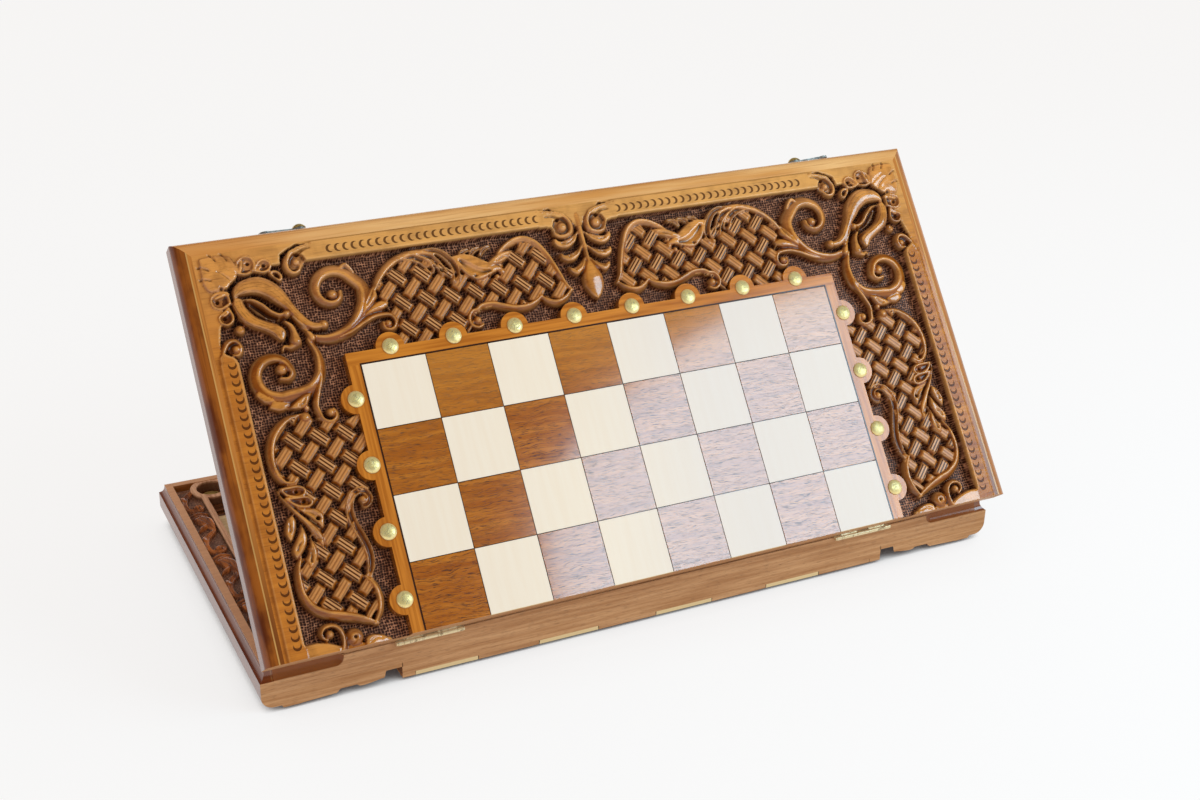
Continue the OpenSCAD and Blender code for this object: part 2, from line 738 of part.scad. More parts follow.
on_lid() dark_squares(0);  // lid_dark_squares
on_lid() light_squares(1);  // lid_light_squares
on_lid() studs();  // lid_studs
on_lid() end_carvings();  // lid_end_carvings
on_lid() bars();  // lid_bars
on_lid() well_discs();  // lid_well_discs
on_lid() light_points();  // lid_light_points
on_lid() dark_points();  // lid_dark_points
on_base() hinge_leaves(0);  // base_hinge_leaves
on_lid() hinge_leaves(1);  // lid_hinge_leaves
on_base() hinge_pins();
on_base() hinge_screws();  // base_hinge_screws
on_lid() hinge_screws();  // lid_hinge_screws
on_lid() left_hook();
on_lid() right_hook();
on_lid() hook_screws();
on_lid() hook_washers();
on_base() catch_pegs();
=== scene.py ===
import bpy
import math
import numpy as np
from mathutils import Matrix, Vector


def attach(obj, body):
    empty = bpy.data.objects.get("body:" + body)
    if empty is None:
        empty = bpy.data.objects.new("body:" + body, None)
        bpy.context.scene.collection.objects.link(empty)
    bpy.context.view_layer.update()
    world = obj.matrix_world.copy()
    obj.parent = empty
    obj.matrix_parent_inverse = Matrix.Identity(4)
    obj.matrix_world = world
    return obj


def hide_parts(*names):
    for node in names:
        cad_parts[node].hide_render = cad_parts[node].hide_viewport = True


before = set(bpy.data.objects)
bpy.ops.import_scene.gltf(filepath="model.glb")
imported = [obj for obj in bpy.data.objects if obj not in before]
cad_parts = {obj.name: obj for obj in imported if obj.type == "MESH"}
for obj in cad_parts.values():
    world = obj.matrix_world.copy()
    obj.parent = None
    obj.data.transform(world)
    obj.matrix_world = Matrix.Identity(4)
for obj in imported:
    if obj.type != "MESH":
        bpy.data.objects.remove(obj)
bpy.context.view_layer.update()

# ---- Moulded rails ----
# Walnut rails run round three sides of each half: a quarter round above, a sharp lip, and a cove
# below it. They are planed from the solid, mitred at the corners, stained reddish brown, and
# lacquered. The rims that meet when the board closes are left in bare wood.

HALVES = ("base", "lid")
LEAN = math.radians(51.5)
HINGE_OUT, HINGE_Y, HINGE_Z = 2.1, -140.169, 33.0
HALF_LONG, HALF_DEEP, HALF_THICK = 300.0, 297.0, 30.5
ARRIS_D = 28.5
MM = 0.001


def stain(red, green, blue):
    """A colour as it's mixed on a card, 0 to 255, for a shader."""
    return tuple(c / 255 / 12.92 if c <= 10 else ((c / 255 + 0.055) / 1.055)**2.4
                 for c in (red, green, blue)) + (1.0,)


class Amount:
    """A socket that carries a number or a colour over the surface. Sums on it add their nodes."""

    def __init__(self, bench, socket):
        self.bench, self.socket = bench, socket

    def work(self, operation, *parts):
        return self.bench.put("Math", {"operation": operation}, dict(enumerate(parts)))

    def __add__(self, other):
        return self.work("ADD", self, other)

    def __sub__(self, other):
        return self.work("SUBTRACT", self, other)

    def __rsub__(self, other):
        return self.work("SUBTRACT", other, self)

    def __mul__(self, other):
        return self.work("MULTIPLY", self, other)

    def __truediv__(self, other):
        return self.work("DIVIDE", self, other)

    def __pow__(self, other):
        return self.work("POWER", self, other)

    def __abs__(self):
        return self.work("ABSOLUTE", self)

    __radd__ = __add__
    __rmul__ = __mul__

    def beyond(self, low, high):
        """0 below low, 1 above high, and smooth between."""
        return self.bench.put("MapRange", {"interpolation_type": "SMOOTHSTEP"},
                              {"Value": self, "From Min": low, "From Max": high})

    def within(self, low, high, soft):
        return self.beyond(low, low + soft) * (1 - self.beyond(high - soft, high))

    def glazed(self, *coats):
        """This colour with stains laid over it in turn: red, green, blue and how much shows."""
        colour = self
        for red, green, blue, share in coats:
            colour = self.bench.mix(colour, stain(red, green, blue), share)
        return colour


class Bench:
    """One finish being mixed: all its nodes go in through put."""

    def __init__(self, name):
        self.material = bpy.data.materials.new(name) if isinstance(name, str) else name
        self.material.use_nodes = True
        self.tree = self.material.node_tree
        self.tree.nodes.clear()

    def put(self, kind, settings=None, values=None, out=0):
        node = self.tree.nodes.new("ShaderNode" + kind)
        for name, value in (settings or {}).items():
            setattr(node, name, value)
        for name, value in (values or {}).items():
            if isinstance(value, Amount):
                self.tree.links.new(value.socket, node.inputs[name])
            else:
                node.inputs[name].default_value = value
        return Amount(self, node.outputs[out]) if node.outputs else None

    def mix(self, first, second, share):
        return self.put("Mix", {"data_type": "RGBA"}, {0: share, 6: first, 7: second}, out=2)

    def point(self, x, y, z=0.0):
        return self.put("CombineXYZ", None, {"X": x, "Y": y, "Z": z})

    def parts(self, vector):
        return [self.put("SeparateXYZ", None, {"Vector": vector}, out=n) for n in (0, 1, 2)]

    def noise(self, where, detail):
        values = {"Vector": where, "Scale": 1.0, "Detail": detail, "Roughness": 0.55}
        return self.put("TexNoise", None, values)

    def grain(self, along, across, up, length, width, detail, shift=0.0):
        """Figure of wood drawn out along one way, 0 to 1."""
        where = self.point(along * (1 / length) + shift, across * (1 / width), up * (1 / width))
        return self.noise(where, detail)

    def lacquer(self, colour, rough, bump, coat=1.0, shine=1.8):
        """Wood under a clear coat; shine is the coat's own IOR."""
        return self.finish(colour, rough, bump, Specular_IOR_Level=0.15, Coat_Weight=coat, Coat_IOR=shine,
                           Coat_Roughness=0.1)

    def finish(self, colour, rough, bump, **more):
        """The surface itself: bump is a height in mm."""
        height = self.put("Bump", None, {"Strength": 1.0, "Distance": MM, "Height": bump})
        values = {"Base Color": colour, "Roughness": rough, "Specular IOR Level": 0.4, "Normal": height}
        values.update({name.replace("_", " "): value for name, value in more.items()})
        self.put("OutputMaterial", None, {"Surface": self.put("BsdfPrincipled", None, values)})
        return self.material


def half_bench(name, half):
    """A bench and the place on a half in mm: x along the hinges, s back from the fold, d up."""
    bench = Bench(f"{name}_{half}")
    if half == "lid":
        turn = Matrix.Rotation(-LEAN, 3, "X")
        shift = turn @ Vector((0, -HINGE_Y, -HINGE_Z)) - Vector((0, HINGE_OUT, 0))
        values = {"Location": shift, "Rotation": (-LEAN, 0, 0), "Scale": (1000, 1000, 1000)}
    else:
        values = {"Location": (0, -HINGE_Y - HINGE_OUT, HINGE_Z), "Scale": (1000, 1000, -1000)}
    values["Vector"] = bench.put("TexCoord", out=3)
    return bench, *bench.parts(bench.put("Mapping", None, values))


def bare_wood(bench, x, s, d):
    """Colour of the unfinished tan wood on the fold face and the rims, and its dark pores."""
    figure = bench.grain(x, s, d, 90.0, 3.4, 4.0)
    streak = bench.grain(x, s, d, 46.0, 0.9, 3.0, 7.3)
    pores = bench.grain(x, s, d, 7.0, 0.42, 2.0, 3.1).beyond(0.56, 0.68)
    tan = bench.mix(stain(172, 118, 72), stain(208, 156, 108), figure.beyond(0.3, 0.72))
    return tan.glazed((146, 94, 54, streak.beyond(0.52, 0.75) * 0.5), (116, 72, 42, pores * 0.45)), pores


def moulding_finish(half, way):
    bench, x, s, d = half_bench(f"rail_lacquer_{way}", half)
    along, across, out, reach = (x, s, s, HALF_DEEP) if way == "back" else (s, x, abs(x), HALF_LONG)
    figure = bench.grain(along, across, d, 130.0, 9.0, 4.0)
    streak = bench.grain(along, across, d, 60.0, 1.1, 3.0, 5.7)
    blotch = bench.noise(bench.point(x * 0.03, s * 0.03, d * 0.1), 3.0).beyond(0.38, 0.64)
    if way == "back":
        # painted sheen: the back rails are painted much paler than the side rails, and more orange toward the
        # left end
        wood = bench.mix(stain(222, 156, 84), stain(248, 196, 130), figure.beyond(0.32, 0.7))
        wood = wood.glazed((218, 140, 64, (0 - x).beyond(150, 290) * 0.6))
        deep, line = (160, 92, 36), (178, 108, 48)
    else:
        browned = (figure + blotch * 0.25 + s * 0.0005).beyond(0.44, 0.82)
        wood = bench.mix(stain(98, 42, 12), stain(164, 92, 28), browned)
        # painted sheen: the right side rails are painted paler than the left ones
        wood = wood.glazed((206, 140, 86, x.beyond(0, 1) * 0.6))
        # painted sheen: the flat band next to the carving is painted paler toward the back
        inner = bench.mix(stain(130, 70, 22), stain(198, 126, 56), s.beyond(0, 140))
        wood = bench.mix(inner, wood, out.beyond(290.4, 291.6))
        # painted highlight along the edge where the quarter round meets the flat band
        wood = wood.glazed((232, 186, 110, out.within(290.6, 292.0, 0.5) * 0.6))
        deep, line = (112, 48, 18), (86, 40, 14)
    # a painted highlight lies along the arris over the quarter round
    arris_highlight = (1 - abs(d - ARRIS_D).beyond(0.15, 0.6)) * out.within(reach - 5.2, reach - 3.4, 0.5)
    # the lower faces are darker: reddish stain with painted shade, as they face away from the light
    low = 1 - d.beyond(20.0, 28.2)
    wood = wood.glazed((*line, streak.beyond(0.5, 0.76) * 0.45), (*deep, low * (0.45 + 0.4 * blotch)),
                       (206, 140, 66, arris_highlight * 0.5))
    bare, pores = bare_wood(bench, x, s, d)
    raw = 1 - s.beyond(0.15, 0.4) * d.beyond(0.25, 0.7)
    # painted light: the bare rims are painted paler than the bare fold face, to lift them out of the shade
    # between the halves
    colour = bench.mix(wood, bare.glazed((236, 184, 148, s.beyond(1, 4) * 0.6)), raw)
    coat = (1 - raw * 0.85) * (1 - d.beyond(18.5, 21.5) * 0.55) * (1.0 if way == "back" else 0.45)
    rough, height = 0.2 + streak * 0.1 + raw * 0.36, streak * 0.05 - pores * raw * 0.06
    return bench.lacquer(colour, rough, height, coat, 2.0)


def wear(material, *nodes):
    for node in nodes:
        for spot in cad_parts[node].material_slots:
            spot.material = material


for half in HALVES:
    wear(moulding_finish(half, "back"), f"{half}_back_rail")
    wear(moulding_finish(half, "side"), f"{half}_left_rail", f"{half}_right_rail")

# ---- Fold rails ----
# A plain walnut rail closes each case along the fold. Its outer face is sawn through the
# finished board, so it is bare tan wood with open grain, and only a scraper has been over it.


def fold_finish(half):
    bench, x, s, d = half_bench("fold_wood", half)
    colour, pores = bare_wood(bench, x, s, d)
    # lacquer reaches into the cove cut round the ends of the fold face
    cove = s.beyond(0.25, 0.6) * (1 - d.beyond(8.6, 9.4)) * (1 - s.beyond(4.4, 4.8)) * d.beyond(0.3, 0.6)
    colour = colour.glazed((146, 84, 40, cove), (128, 76, 38, s.beyond(11.5, 11.9) * 0.7))
    return bench.lacquer(colour, 0.52 - cove * 0.2, pores * -0.08, 0.25, 1.5)


for half in HALVES:
    wear(fold_finish(half), f"{half}_fold_rail")

# ---- Core panels ----
# A plywood core fills each case. Its playing side is veneered in dark figured walnut and
# lacquered; the bed on its other side is covered by the squares, and shows only at the fold.


def sawn_end(bench, wood, x, s, d, near=0.1):
    """The colour of a piece that the saw went through at the fold, and 1 on its bare end."""
    cut_end = 1 - s.beyond(near, near + 0.25)
    return bench.mix(wood, bare_wood(bench, x, s, d)[0], cut_end), cut_end


def panel_finish(half):
    bench, x, s, d = half_bench("floor_veneer", half)
    warp = bench.noise(bench.point(x * 0.02, s * 0.02), 2.0) * 9.0
    figure = bench.grain(x, s + warp, d, 150.0, 6.0, 4.0)
    streak = bench.grain(x, s + warp, d, 50.0, 1.0, 3.0, 2.2)
    floor = bench.mix(stain(98, 54, 24), stain(154, 94, 44), figure.beyond(0.3, 0.7))
    seam = 1 - abs(x).beyond(0.15, 0.4)
    floor = floor.glazed((70, 36, 16, streak.beyond(0.52, 0.72) * 0.6),
                         (52, 30, 20, seam * (1 - d.beyond(9.4, 10))))
    colour, cut_end = sawn_end(bench, floor, x, s, d, 0.15)
    rough = 0.2 + streak * 0.1 + cut_end * 0.35
    return bench.lacquer(colour, rough, streak * 0.04, 1 - cut_end * 0.8, 1.6)


for half in HALVES:
    wear(panel_finish(half), f"{half}_panel")

# ---- Carved border ----
# The border of each chess face is carved in relief from one board: buds at the corners with
# scrolls to each side, basketwork in curled frames, a palmette in the middle, and raised rails
# with rows of gouge cuts. The ground is matted with a toothed punch, stained dark, and lacquered.

CELL = 0.7
CARVED_X, CARVED_S = 288.0, 285.0
STRIP, BOSS_R, SQUARE = 199.5, 10.5, 47.5
CORE_D, GROUND_D = 18.0, 21.2
BAND, TOP = 7.3, 9.3
# the mark of a gouge runs along each whole number of its field, and this lies between two
BETWEEN = 0.5


def smooth_line(points, step=0.5):
    """A smooth path through given points, with a place every step mm."""
    p = np.array([points[0]] + list(points) + [points[-1]], float)
    path = []
    for a, b, c, d in zip(p, p[1:], p[2:], p[3:]):
        t = np.linspace(0, 1, max(2, int(np.hypot(*(c - b)) / step)), endpoint=False)[:, None]
        path.append(0.5 * (2 * b + (c - a) * t + (2 * a - 5 * b + 4 * c - d) * t**2
                           + (3 * b - 3 * c + d - a) * t**3))
    return np.vstack(path + [p[-1:]])


def curl(x, s, r0, r1, a0, a1, n=7):
    """Points on a coil round (x, s) that closes in from r0 to r1."""
    turns = [(r0 + (r1 - r0) * k / n, math.radians(a0 + (a1 - a0) * k / n)) for k in range(n + 1)]
    return [(x + r * math.cos(a), s + r * math.sin(a)) for r, a in turns]


def round_top(v, r):
    return 0.35 + 0.65 * np.sqrt(1 - r**2)


def channel(v, r):
    """A hollow between two ridges, with steep sides."""
    hollow = 1 - 0.36 * np.clip(1 - (v / 0.7)**2, 0, 1)**0.8
    return hollow * (1 - 0.5 * np.clip((r - 0.8) / 0.2, 0, 1)**2)


def scroll(v, r):
    """A sharp ridge near the left side that falls slowly to the right, and steeply to the left."""
    fall = np.where(v < 0.35, 0.5 * (np.clip(0.35 - v, 0, None) / 1.35)**1.4,
                    0.45 * (np.clip(v - 0.35, 0, None) / 0.65)**1.6)
    return (1 - fall) * (1 - 0.3 * np.clip((r - 0.85) / 0.15, 0, 1)**2)


def scroll_back(v, r):
    return scroll(-v, r)


class Carving:
    """Height of a carved surface over its ground in mm, with the marks of the tools on it."""

    def __init__(self, x0, x1, s0, s1, cell):
        self.x0, self.s0, self.cell = x0, s0, cell
        self.x, self.s = np.meshgrid(np.linspace(x0, x1, round((x1 - x0) / cell) + 1),
                                     np.linspace(s0, s1, round((s1 - s0) / cell) + 1), indexing="ij")
        self.z, self.gouge, self.cut, self.strap, self.flat, self.crest = np.zeros((6, *self.x.shape))
        self.ground = np.ones(self.x.shape)

    def inside(self, points):
        hit = np.zeros(self.x.shape, bool)
        for (ax, ay), (bx, by) in zip(points, list(points[1:]) + [points[0]]):
            if ay != by:
                hit ^= ((self.s > min(ay, by)) & (self.s <= max(ay, by))
                        & (self.x < ax + (self.s - ay) * (bx - ax) / (by - ay)))
        return hit

    def lay(self, i0, j0, height, on, gouge=0.0, cut=0.0, strap=0.0, flat=0.0, crest=0.85):
        win = (slice(i0, i0 + height.shape[0]), slice(j0, j0 + height.shape[1]))
        over = on & (height > self.z[win])
        for field, value in ((self.z, height), (self.gouge, gouge), (self.cut, cut), (self.strap, strap),
                             (self.flat, flat), (self.crest, crest), (self.ground, 0.0)):
            field[win][over] = value[over] if isinstance(value, np.ndarray) else value

    def stroke(self, points, width, top, shape):
        """A form drawn along a path, with its width, height and section."""
        path = smooth_line(points)
        run = np.concatenate([[0], np.cumsum(np.hypot(*np.diff(path, axis=0).T))])
        run /= max(run[-1], 1e-9)
        half = np.interp(run, np.linspace(0, 1, len(width)), width) / 2
        high = np.interp(run, np.linspace(0, 1, len(top)), top)
        way = np.gradient(path, axis=0)
        way /= np.maximum(np.hypot(*way.T), 1e-9)[:, None]
        reach = half.max() + self.cell
        size, corner = np.array(self.x.shape), (self.x0, self.s0)
        first = np.clip(((path.min(axis=0) - reach - corner) / self.cell).astype(int), 0, size)
        last = np.clip(((path.max(axis=0) + reach - corner) / self.cell).astype(int) + 2, 0, size)
        if (last <= first).any():
            return
        (i0, j0), (i1, j1) = first, last
        gx, gs = self.x[i0:i1, j0:j1], self.s[i0:i1, j0:j1]
        best, near = np.full(gx.shape, 1e9), np.zeros(gx.shape, int)
        k = int(reach / self.cell) + 2
        for n, (px, ps) in enumerate(path):
            ci, cj = int((px - self.x0) / self.cell) - i0, int((ps - self.s0) / self.cell) - j0
            win = (slice(max(ci - k, 0), max(ci + k, 0)), slice(max(cj - k, 0), max(cj + k, 0)))
            gap = ((gx[win] - px)**2 + (gs[win] - ps)**2) / max(half[n], 0.3)**2
            closer = gap < best[win]
            best[win][closer] = gap[closer]
            near[win][closer] = n
        side = (gs - path[near, 1]) * way[near, 0] - (gx - path[near, 0]) * way[near, 1]
        r = np.sqrt(best)
        v = np.clip(side / np.maximum(half[near], 0.3), -r, r)
        section = shape(v, np.clip(r, 0, 1))
        self.lay(i0, j0, high[near] * section, r < 1, BETWEEN, crest=section)

    def lobe(self, left, right, top, crown, bulge=0.0, lines=0, cut=0.55, rim=2.6, apart=False):
        """A leaf or petal held between two edges that run from its root to its tip.
        The right edge is given without the root and the tip, unless the edges end apart."""
        right = right if apart else left[:1] + right + left[-1:]
        one, two = smooth_line(left), smooth_line(right)
        on = self.inside([tuple(p) for p in np.vstack([one, two[::-1]])[::2]])
        if not on.any():
            return
        ii, jj = np.nonzero(on)
        i0, j0 = ii.min(), jj.min()
        win = (slice(i0, ii.max() + 1), slice(j0, jj.max() + 1))
        x, s = self.x[win], self.s[win]
        near, far = [np.sqrt(((x[..., None] - e[::2, 0])**2 + (s[..., None] - e[::2, 1])**2).min(axis=2))
                     for e in (one, two)]
        run = np.hypot(x - left[0][0], s - left[0][1])
        high = np.interp(run / max(run[on[win]].max(), 1e-6), np.linspace(0, 1, len(top)), top)
        edge = np.clip(np.minimum(near, far) / rim, 0, 1)
        across = near / np.maximum(near + far, 1e-6) * 2 - 1
        section = (1 - crown * (1 - np.sqrt(1 - (1 - edge)**2))) * (1 - bulge * (1 - np.sqrt(1 - across**2)))
        self.lay(i0, j0, high * section, on[win], (across + 1) / 2 * lines, cut * (edge > 0.25) * (lines > 0),
                 crest=section)

    def incise(self, points, width, depth):
        """A cut sunk along a path."""
        tool = Carving(self.x0, self.x[-1, 0], self.s0, self.s[0, -1], self.cell)
        tool.stroke(points, width, [1.0], lambda v, r: 1 - r**2)
        self.z = np.maximum(self.z - depth * tool.z, -0.6)

    def ball(self, x, s, r, top):
        self.stroke([(x - 0.01, s), (x + 0.01, s)], [2 * r], [top], round_top)

    def plate(self, points, height):
        self.lay(0, 0, np.full(self.x.shape, height), self.inside(points), flat=1.0)

    def level(self, points, height):
        """What stands inside the outline is cut down to one smooth height."""
        on = self.inside(points)
        self.z[on] = height
        for field in (self.ground, self.cut, self.strap, self.flat):
            field[on] = 0.0

    def eye(self, x, s, r, ball, top):
        """The heart of a volute: a ball that's left standing in a round hollow."""
        self.level(curl(x, s, r, r, 0, 350, 20), 6.2)
        self.ball(x, s, ball, top)

    def hole(self, x, s, r=1.1, depth=3.2):
        """A drill mark at the end of a leaf."""
        self.incise([(x - 0.3, s), (x + 0.3, s)], [2 * r], depth)

    def loop(self, outline, at, high=9.2, low=6.6):
        """A leaf end that's turned over: a rim round a hollow, with a drill mark in it."""
        self.level(outline, low)
        self.stroke(outline + outline[:1], [3.1], [high], round_top)
        self.hole(*at)

    def weave(self, region, x0, s0):
        """Basketwork: crowned straps that cross over and under each other."""
        pitch_x, pitch_s, wide, over, swing = 18.5, 19.2, 7.8, 7.2, 2.2
        on = self.inside(region)
        p = (self.x - x0) / pitch_x + (self.s - s0) / pitch_s
        q = (self.x - x0) / pitch_x - (self.s - s0) / pitch_s
        gap = 1 / math.hypot(1 / pitch_x, 1 / pitch_s)
        for a, b, shift, cut in ((p, q, 0, 1.0), (q, p, 1, 0.45)):
            n = np.round(a)
            side = (a - n) * gap / (wide / 2)
            wave = np.clip(np.cos(np.pi * (b - n - shift)) * 2.4 + 0.7, -1, 1)
            height = over - swing + swing * wave - 0.4 * side**4
            along = np.abs((b - n - shift + 1) % 2 - 1)
            fits = on & (np.abs(side) < 1)
            self.lay(0, 0, np.where(fits, height, 0), fits, side * 1.6,
                     cut * ((np.abs(side) < 0.85) & (along < 0.47)),
                     np.clip(3.2 - 5.5 * along, 0, 1) * (height > over - swing * 1.5))

    def sand(self):
        z = np.pad(self.z, 1, mode="edge")
        self.z = (4 * z[1:-1, 1:-1] + z[:-2, 1:-1] + z[2:, 1:-1] + z[1:-1, :-2] + z[1:-1, 2:]) / 8

    def steep(self):
        """How steeply each place falls, in mm per mm."""
        return np.hypot(*np.gradient(self.z, self.cell))

    def hollow(self, reach):
        """How far each place lies below what is round it, in mm."""
        k, mean = int(reach / self.cell), self.z
        for axis in (0, 1, 0, 1):
            edges = [(k + 1, k) if n == axis else (0, 0) for n in (0, 1)]
            run, n = np.cumsum(np.pad(mean, edges, mode="edge"), axis=axis), mean.shape[axis]
            ends, starts = range(2 * k + 1, 2 * k + 1 + n), range(n)
            mean = (np.take(run, ends, axis) - np.take(run, starts, axis)) / (2 * k + 1)
        return mean - self.z


border = Carving(-CARVED_X, 0.0, 0.0, CARVED_S, CELL)
plate, level, stroke, lobe, incise = border.plate, border.level, border.stroke, border.lobe, border.incise
ball, hole, loop, eye, weave = border.ball, border.hole, border.loop, border.eye, border.weave
# flat band that the corner leaf and the curls lie on, and the raised rails
plate([(-289, -1), (-284, -1), (-284, 206), (-283, 216), (-280.5, 224), (-278.5, 232), (-276, 236),
    (-275, 246), (-272, 256), (-268, 262), (-262, 268), (-254, 270), (-244, 269.5), (-236, 270.5),
    (-228.5, 271), (-227, 278), (-216, 283), (-20, 283), (-6, 275), (-3, 268), (1, 266), (1, 286),
    (-289, 286)], BAND)
plate([(-285.2, -1), (-272.5, -1), (-272.5, 206), (-273.5, 209), (-277, 211.5), (-281, 214), (-284.5, 211),
    (-285.4, 205)], TOP)
plate([(-203, 284), (-214, 282), (-222, 279), (-224.5, 272), (-222, 266), (-214, 266), (-212, 270),
    (-207, 270.2), (-34, 269.8), (-24, 268.6), (-20, 264), (-8, 262), (-6.4, 272), (-10, 279), (-20, 282),
    (-32, 284)], TOP)
# volutes that the rails end in: a rim, a dark hollow and an eye
eye(-217.6, 270.6, 6.4, 3.6, 9.6)
incise([(-206, 279.6), (-211, 278.6), (-216, 276)], [0.6, 1.6, 3], 3)
stroke([(-203, 283), (-213, 281), (-220.5, 277.5), (-224.9, 272), (-225, 266.5), (-221.5, 262.9),
    (-217, 263.8), (-214.6, 267.5)], [2, 3, 4.5, 5.2, 5.6, 5.2, 4, 3],
    [9.5, 9.8, 9.8, 9.6, 9.4, 9.2, 9, 8.4], scroll)
eye(-272, 215.2, 5.8, 3.8, 9.6)
stroke([(-284.6, 203), (-283, 212), (-279.5, 218.5), (-275.5, 221.7), (-271.3, 221.6), (-268.6, 218),
    (-268.8, 213.5), (-271.5, 210.7), (-274.5, 211.2)], [2, 4, 5.2, 5.6, 5.6, 5, 4.5, 4, 3],
    [9.5, 9.6, 9.8, 9.8, 9.6, 9.4, 9.2, 8.8, 8.4], scroll_back)
eye(-14, 268.4, 7.4, 4.6, 10)
incise([(-26, 277.4), (-20, 277), (-16, 274.6)], [0.6, 1.6, 3], 3)
stroke([(-32, 282.5), (-19.5, 280.6), (-11.5, 277.6), (-7.3, 273), (-6.2, 267.5), (-8, 263.2),
    (-12.5, 260.9), (-17.5, 261.3), (-21, 264), (-21.3, 267.5)], [2, 3, 4, 5, 5.6, 6, 6, 5.5, 4.5, 3],
    [9.5, 9.7, 10, 10, 9.8, 9.5, 9.2, 9, 8.6, 8], scroll_back)
# foot of the side rail, with its volute, a berry and a low leaf
plate([(-289, -1), (-211, -1), (-214, 2.5), (-289, 3)], 5.4)
lobe([(-282, 9), (-272, 9.2), (-264.7, 9.4), (-258, 8), (-252.5, 6), (-247, 3)],
    [(-284, -6), (-262, -8), (-250, -6)], [9.2, 9.2, 8.9, 8.5, 8.2], 0.4)
stroke([(-248.5, -3), (-246, 3), (-245.3, 8.5), (-246.2, 13.5), (-249, 17), (-253, 18.4), (-257.5, 17.6),
    (-260, 14.5), (-259.5, 11), (-257, 8.8)], [6, 5.5, 5, 4.8, 4.8, 4.8, 4.8, 4.4, 4, 3],
    [8.2, 8.8, 9, 9, 9, 9, 8.8, 8.4, 8, 7.4], scroll)
incise([(-253, 7), (-249.8, 10), (-249.8, 13.6), (-253, 15.8)], [2, 3, 3, 2], 4.5)
ball(-254.2, 12.4, 3.6, 8.6)
ball(-238, 7, 6.8, 8.6)
hole(-237.7, 7.2, 1.2, 3.5)
incise([(-241.5, 4.5), (-239.5, 3.2), (-237.5, 6)], [1.2, 1.6, 1.6], 1.4)
lobe([(-232.7, -3), (-231.3, 4.5), (-226.7, 6.8), (-220, 5.4), (-215.3, 3), (-212, -3)],
    [(-225, -4), (-218, -4)], [6.8, 7.2, 6.4, 5.2], 0.35)
incise([(-229, 1), (-224, 3.6), (-219, 2.4)], [1, 1.4, 1], 0.9)
# corner leaf, notched on its two outer sides
lobe([(-265.5, 261.5), (-269, 258.3), (-275.6, 257.6), (-280.2, 256.9), (-283.1, 259.4), (-284.9, 265.1),
    (-284.6, 273.7), (-284.2, 282)], [(-261, 265), (-259.9, 270.1), (-260.6, 276.6), (-263.4, 281.4),
    (-270.6, 282.8), (-277.7, 283)], [8.8, 9.8, 10.2, 10, 9.6], 0.3, 0.12, rim=1.1)
for a, b in (
        ((-286, 276), (-279.1, 272.6)),
        ((-286, 267), (-278.8, 265.1)),
        ((-276.4, 284), (-273.1, 278.7)),
        ((-268.2, 284), (-265.2, 278))):
    incise([a, ((a[0] + b[0]) / 2, (a[1] + b[1]) / 2 + 0.4), b], [1.2, 1.5, 1.4], 2.0)
incise([(-272, 274.8), (-266, 271.2), (-260.6, 267.3)], [0.8, 1.4, 1.4], 1.0)
incise([(-273.8, 271.2), (-269, 267.4), (-265.2, 263)], [0.8, 1.6, 2.0], 1.4)
hole(-273, 258.9)
# leaf ends that curl over round the shoulder of the bud
loop([(-259, 268), (-259.4, 273.7), (-256.6, 278), (-252, 279.6), (-248.2, 277.8), (-247, 273.7),
    (-248.6, 269.4), (-253.5, 267)], (-251.2, 274.4))
stroke([(-258.6, 267.5), (-256.8, 272), (-255.4, 276.6)], [2.5, 4.4, 3], [8.4, 9.6, 9], round_top)
loop([(-248.2, 268.6), (-246, 271.6), (-243.2, 274.6), (-239.9, 275.6), (-236.9, 273.8), (-236, 270.9),
    (-238, 267.8), (-242, 266.8)], (-240.4, 271.6))
stroke([(-246.6, 268.6), (-243.6, 270.2), (-242.4, 272)], [2, 3, 2], [8, 8.6, 8], round_top)
loop([(-237.6, 265), (-234.6, 266.4), (-231.6, 265), (-230.2, 261.6), (-232, 259.2), (-234.6, 261.6)],
    (-233.6, 262.8), 8.8, 6)
loop([(-270, 256), (-276.3, 256.2), (-280.8, 253.9), (-281.8, 250.1), (-280.4, 246.6), (-276.3, 245),
    (-271.6, 246.8), (-269.4, 248.6)], (-277.4, 250))
stroke([(-268.6, 255), (-273.5, 254.2), (-278.6, 252.8)], [3, 4.2, 3], [8.4, 9.6, 9], round_top)
loop([(-271, 244.6), (-274.9, 241.8), (-278.2, 239.8), (-279, 237.3), (-277.4, 234.4), (-274.1, 233.2),
    (-270.6, 235), (-269.4, 238.6)], (-274.9, 237.8))
stroke([(-270.2, 243.6), (-273, 241), (-275.6, 239.6)], [2, 3.2, 2], [8.2, 9, 8.4], round_top)
ball(-266.4, 228.6, 4.2, 8.4)
incise([(-268.4, 231), (-266.6, 228.6), (-264.6, 229.6)], [1.2, 1.8, 1.2], 1.6)
hole(-250, 268.4, 0.9)
hole(-239, 264.8, 0.9)
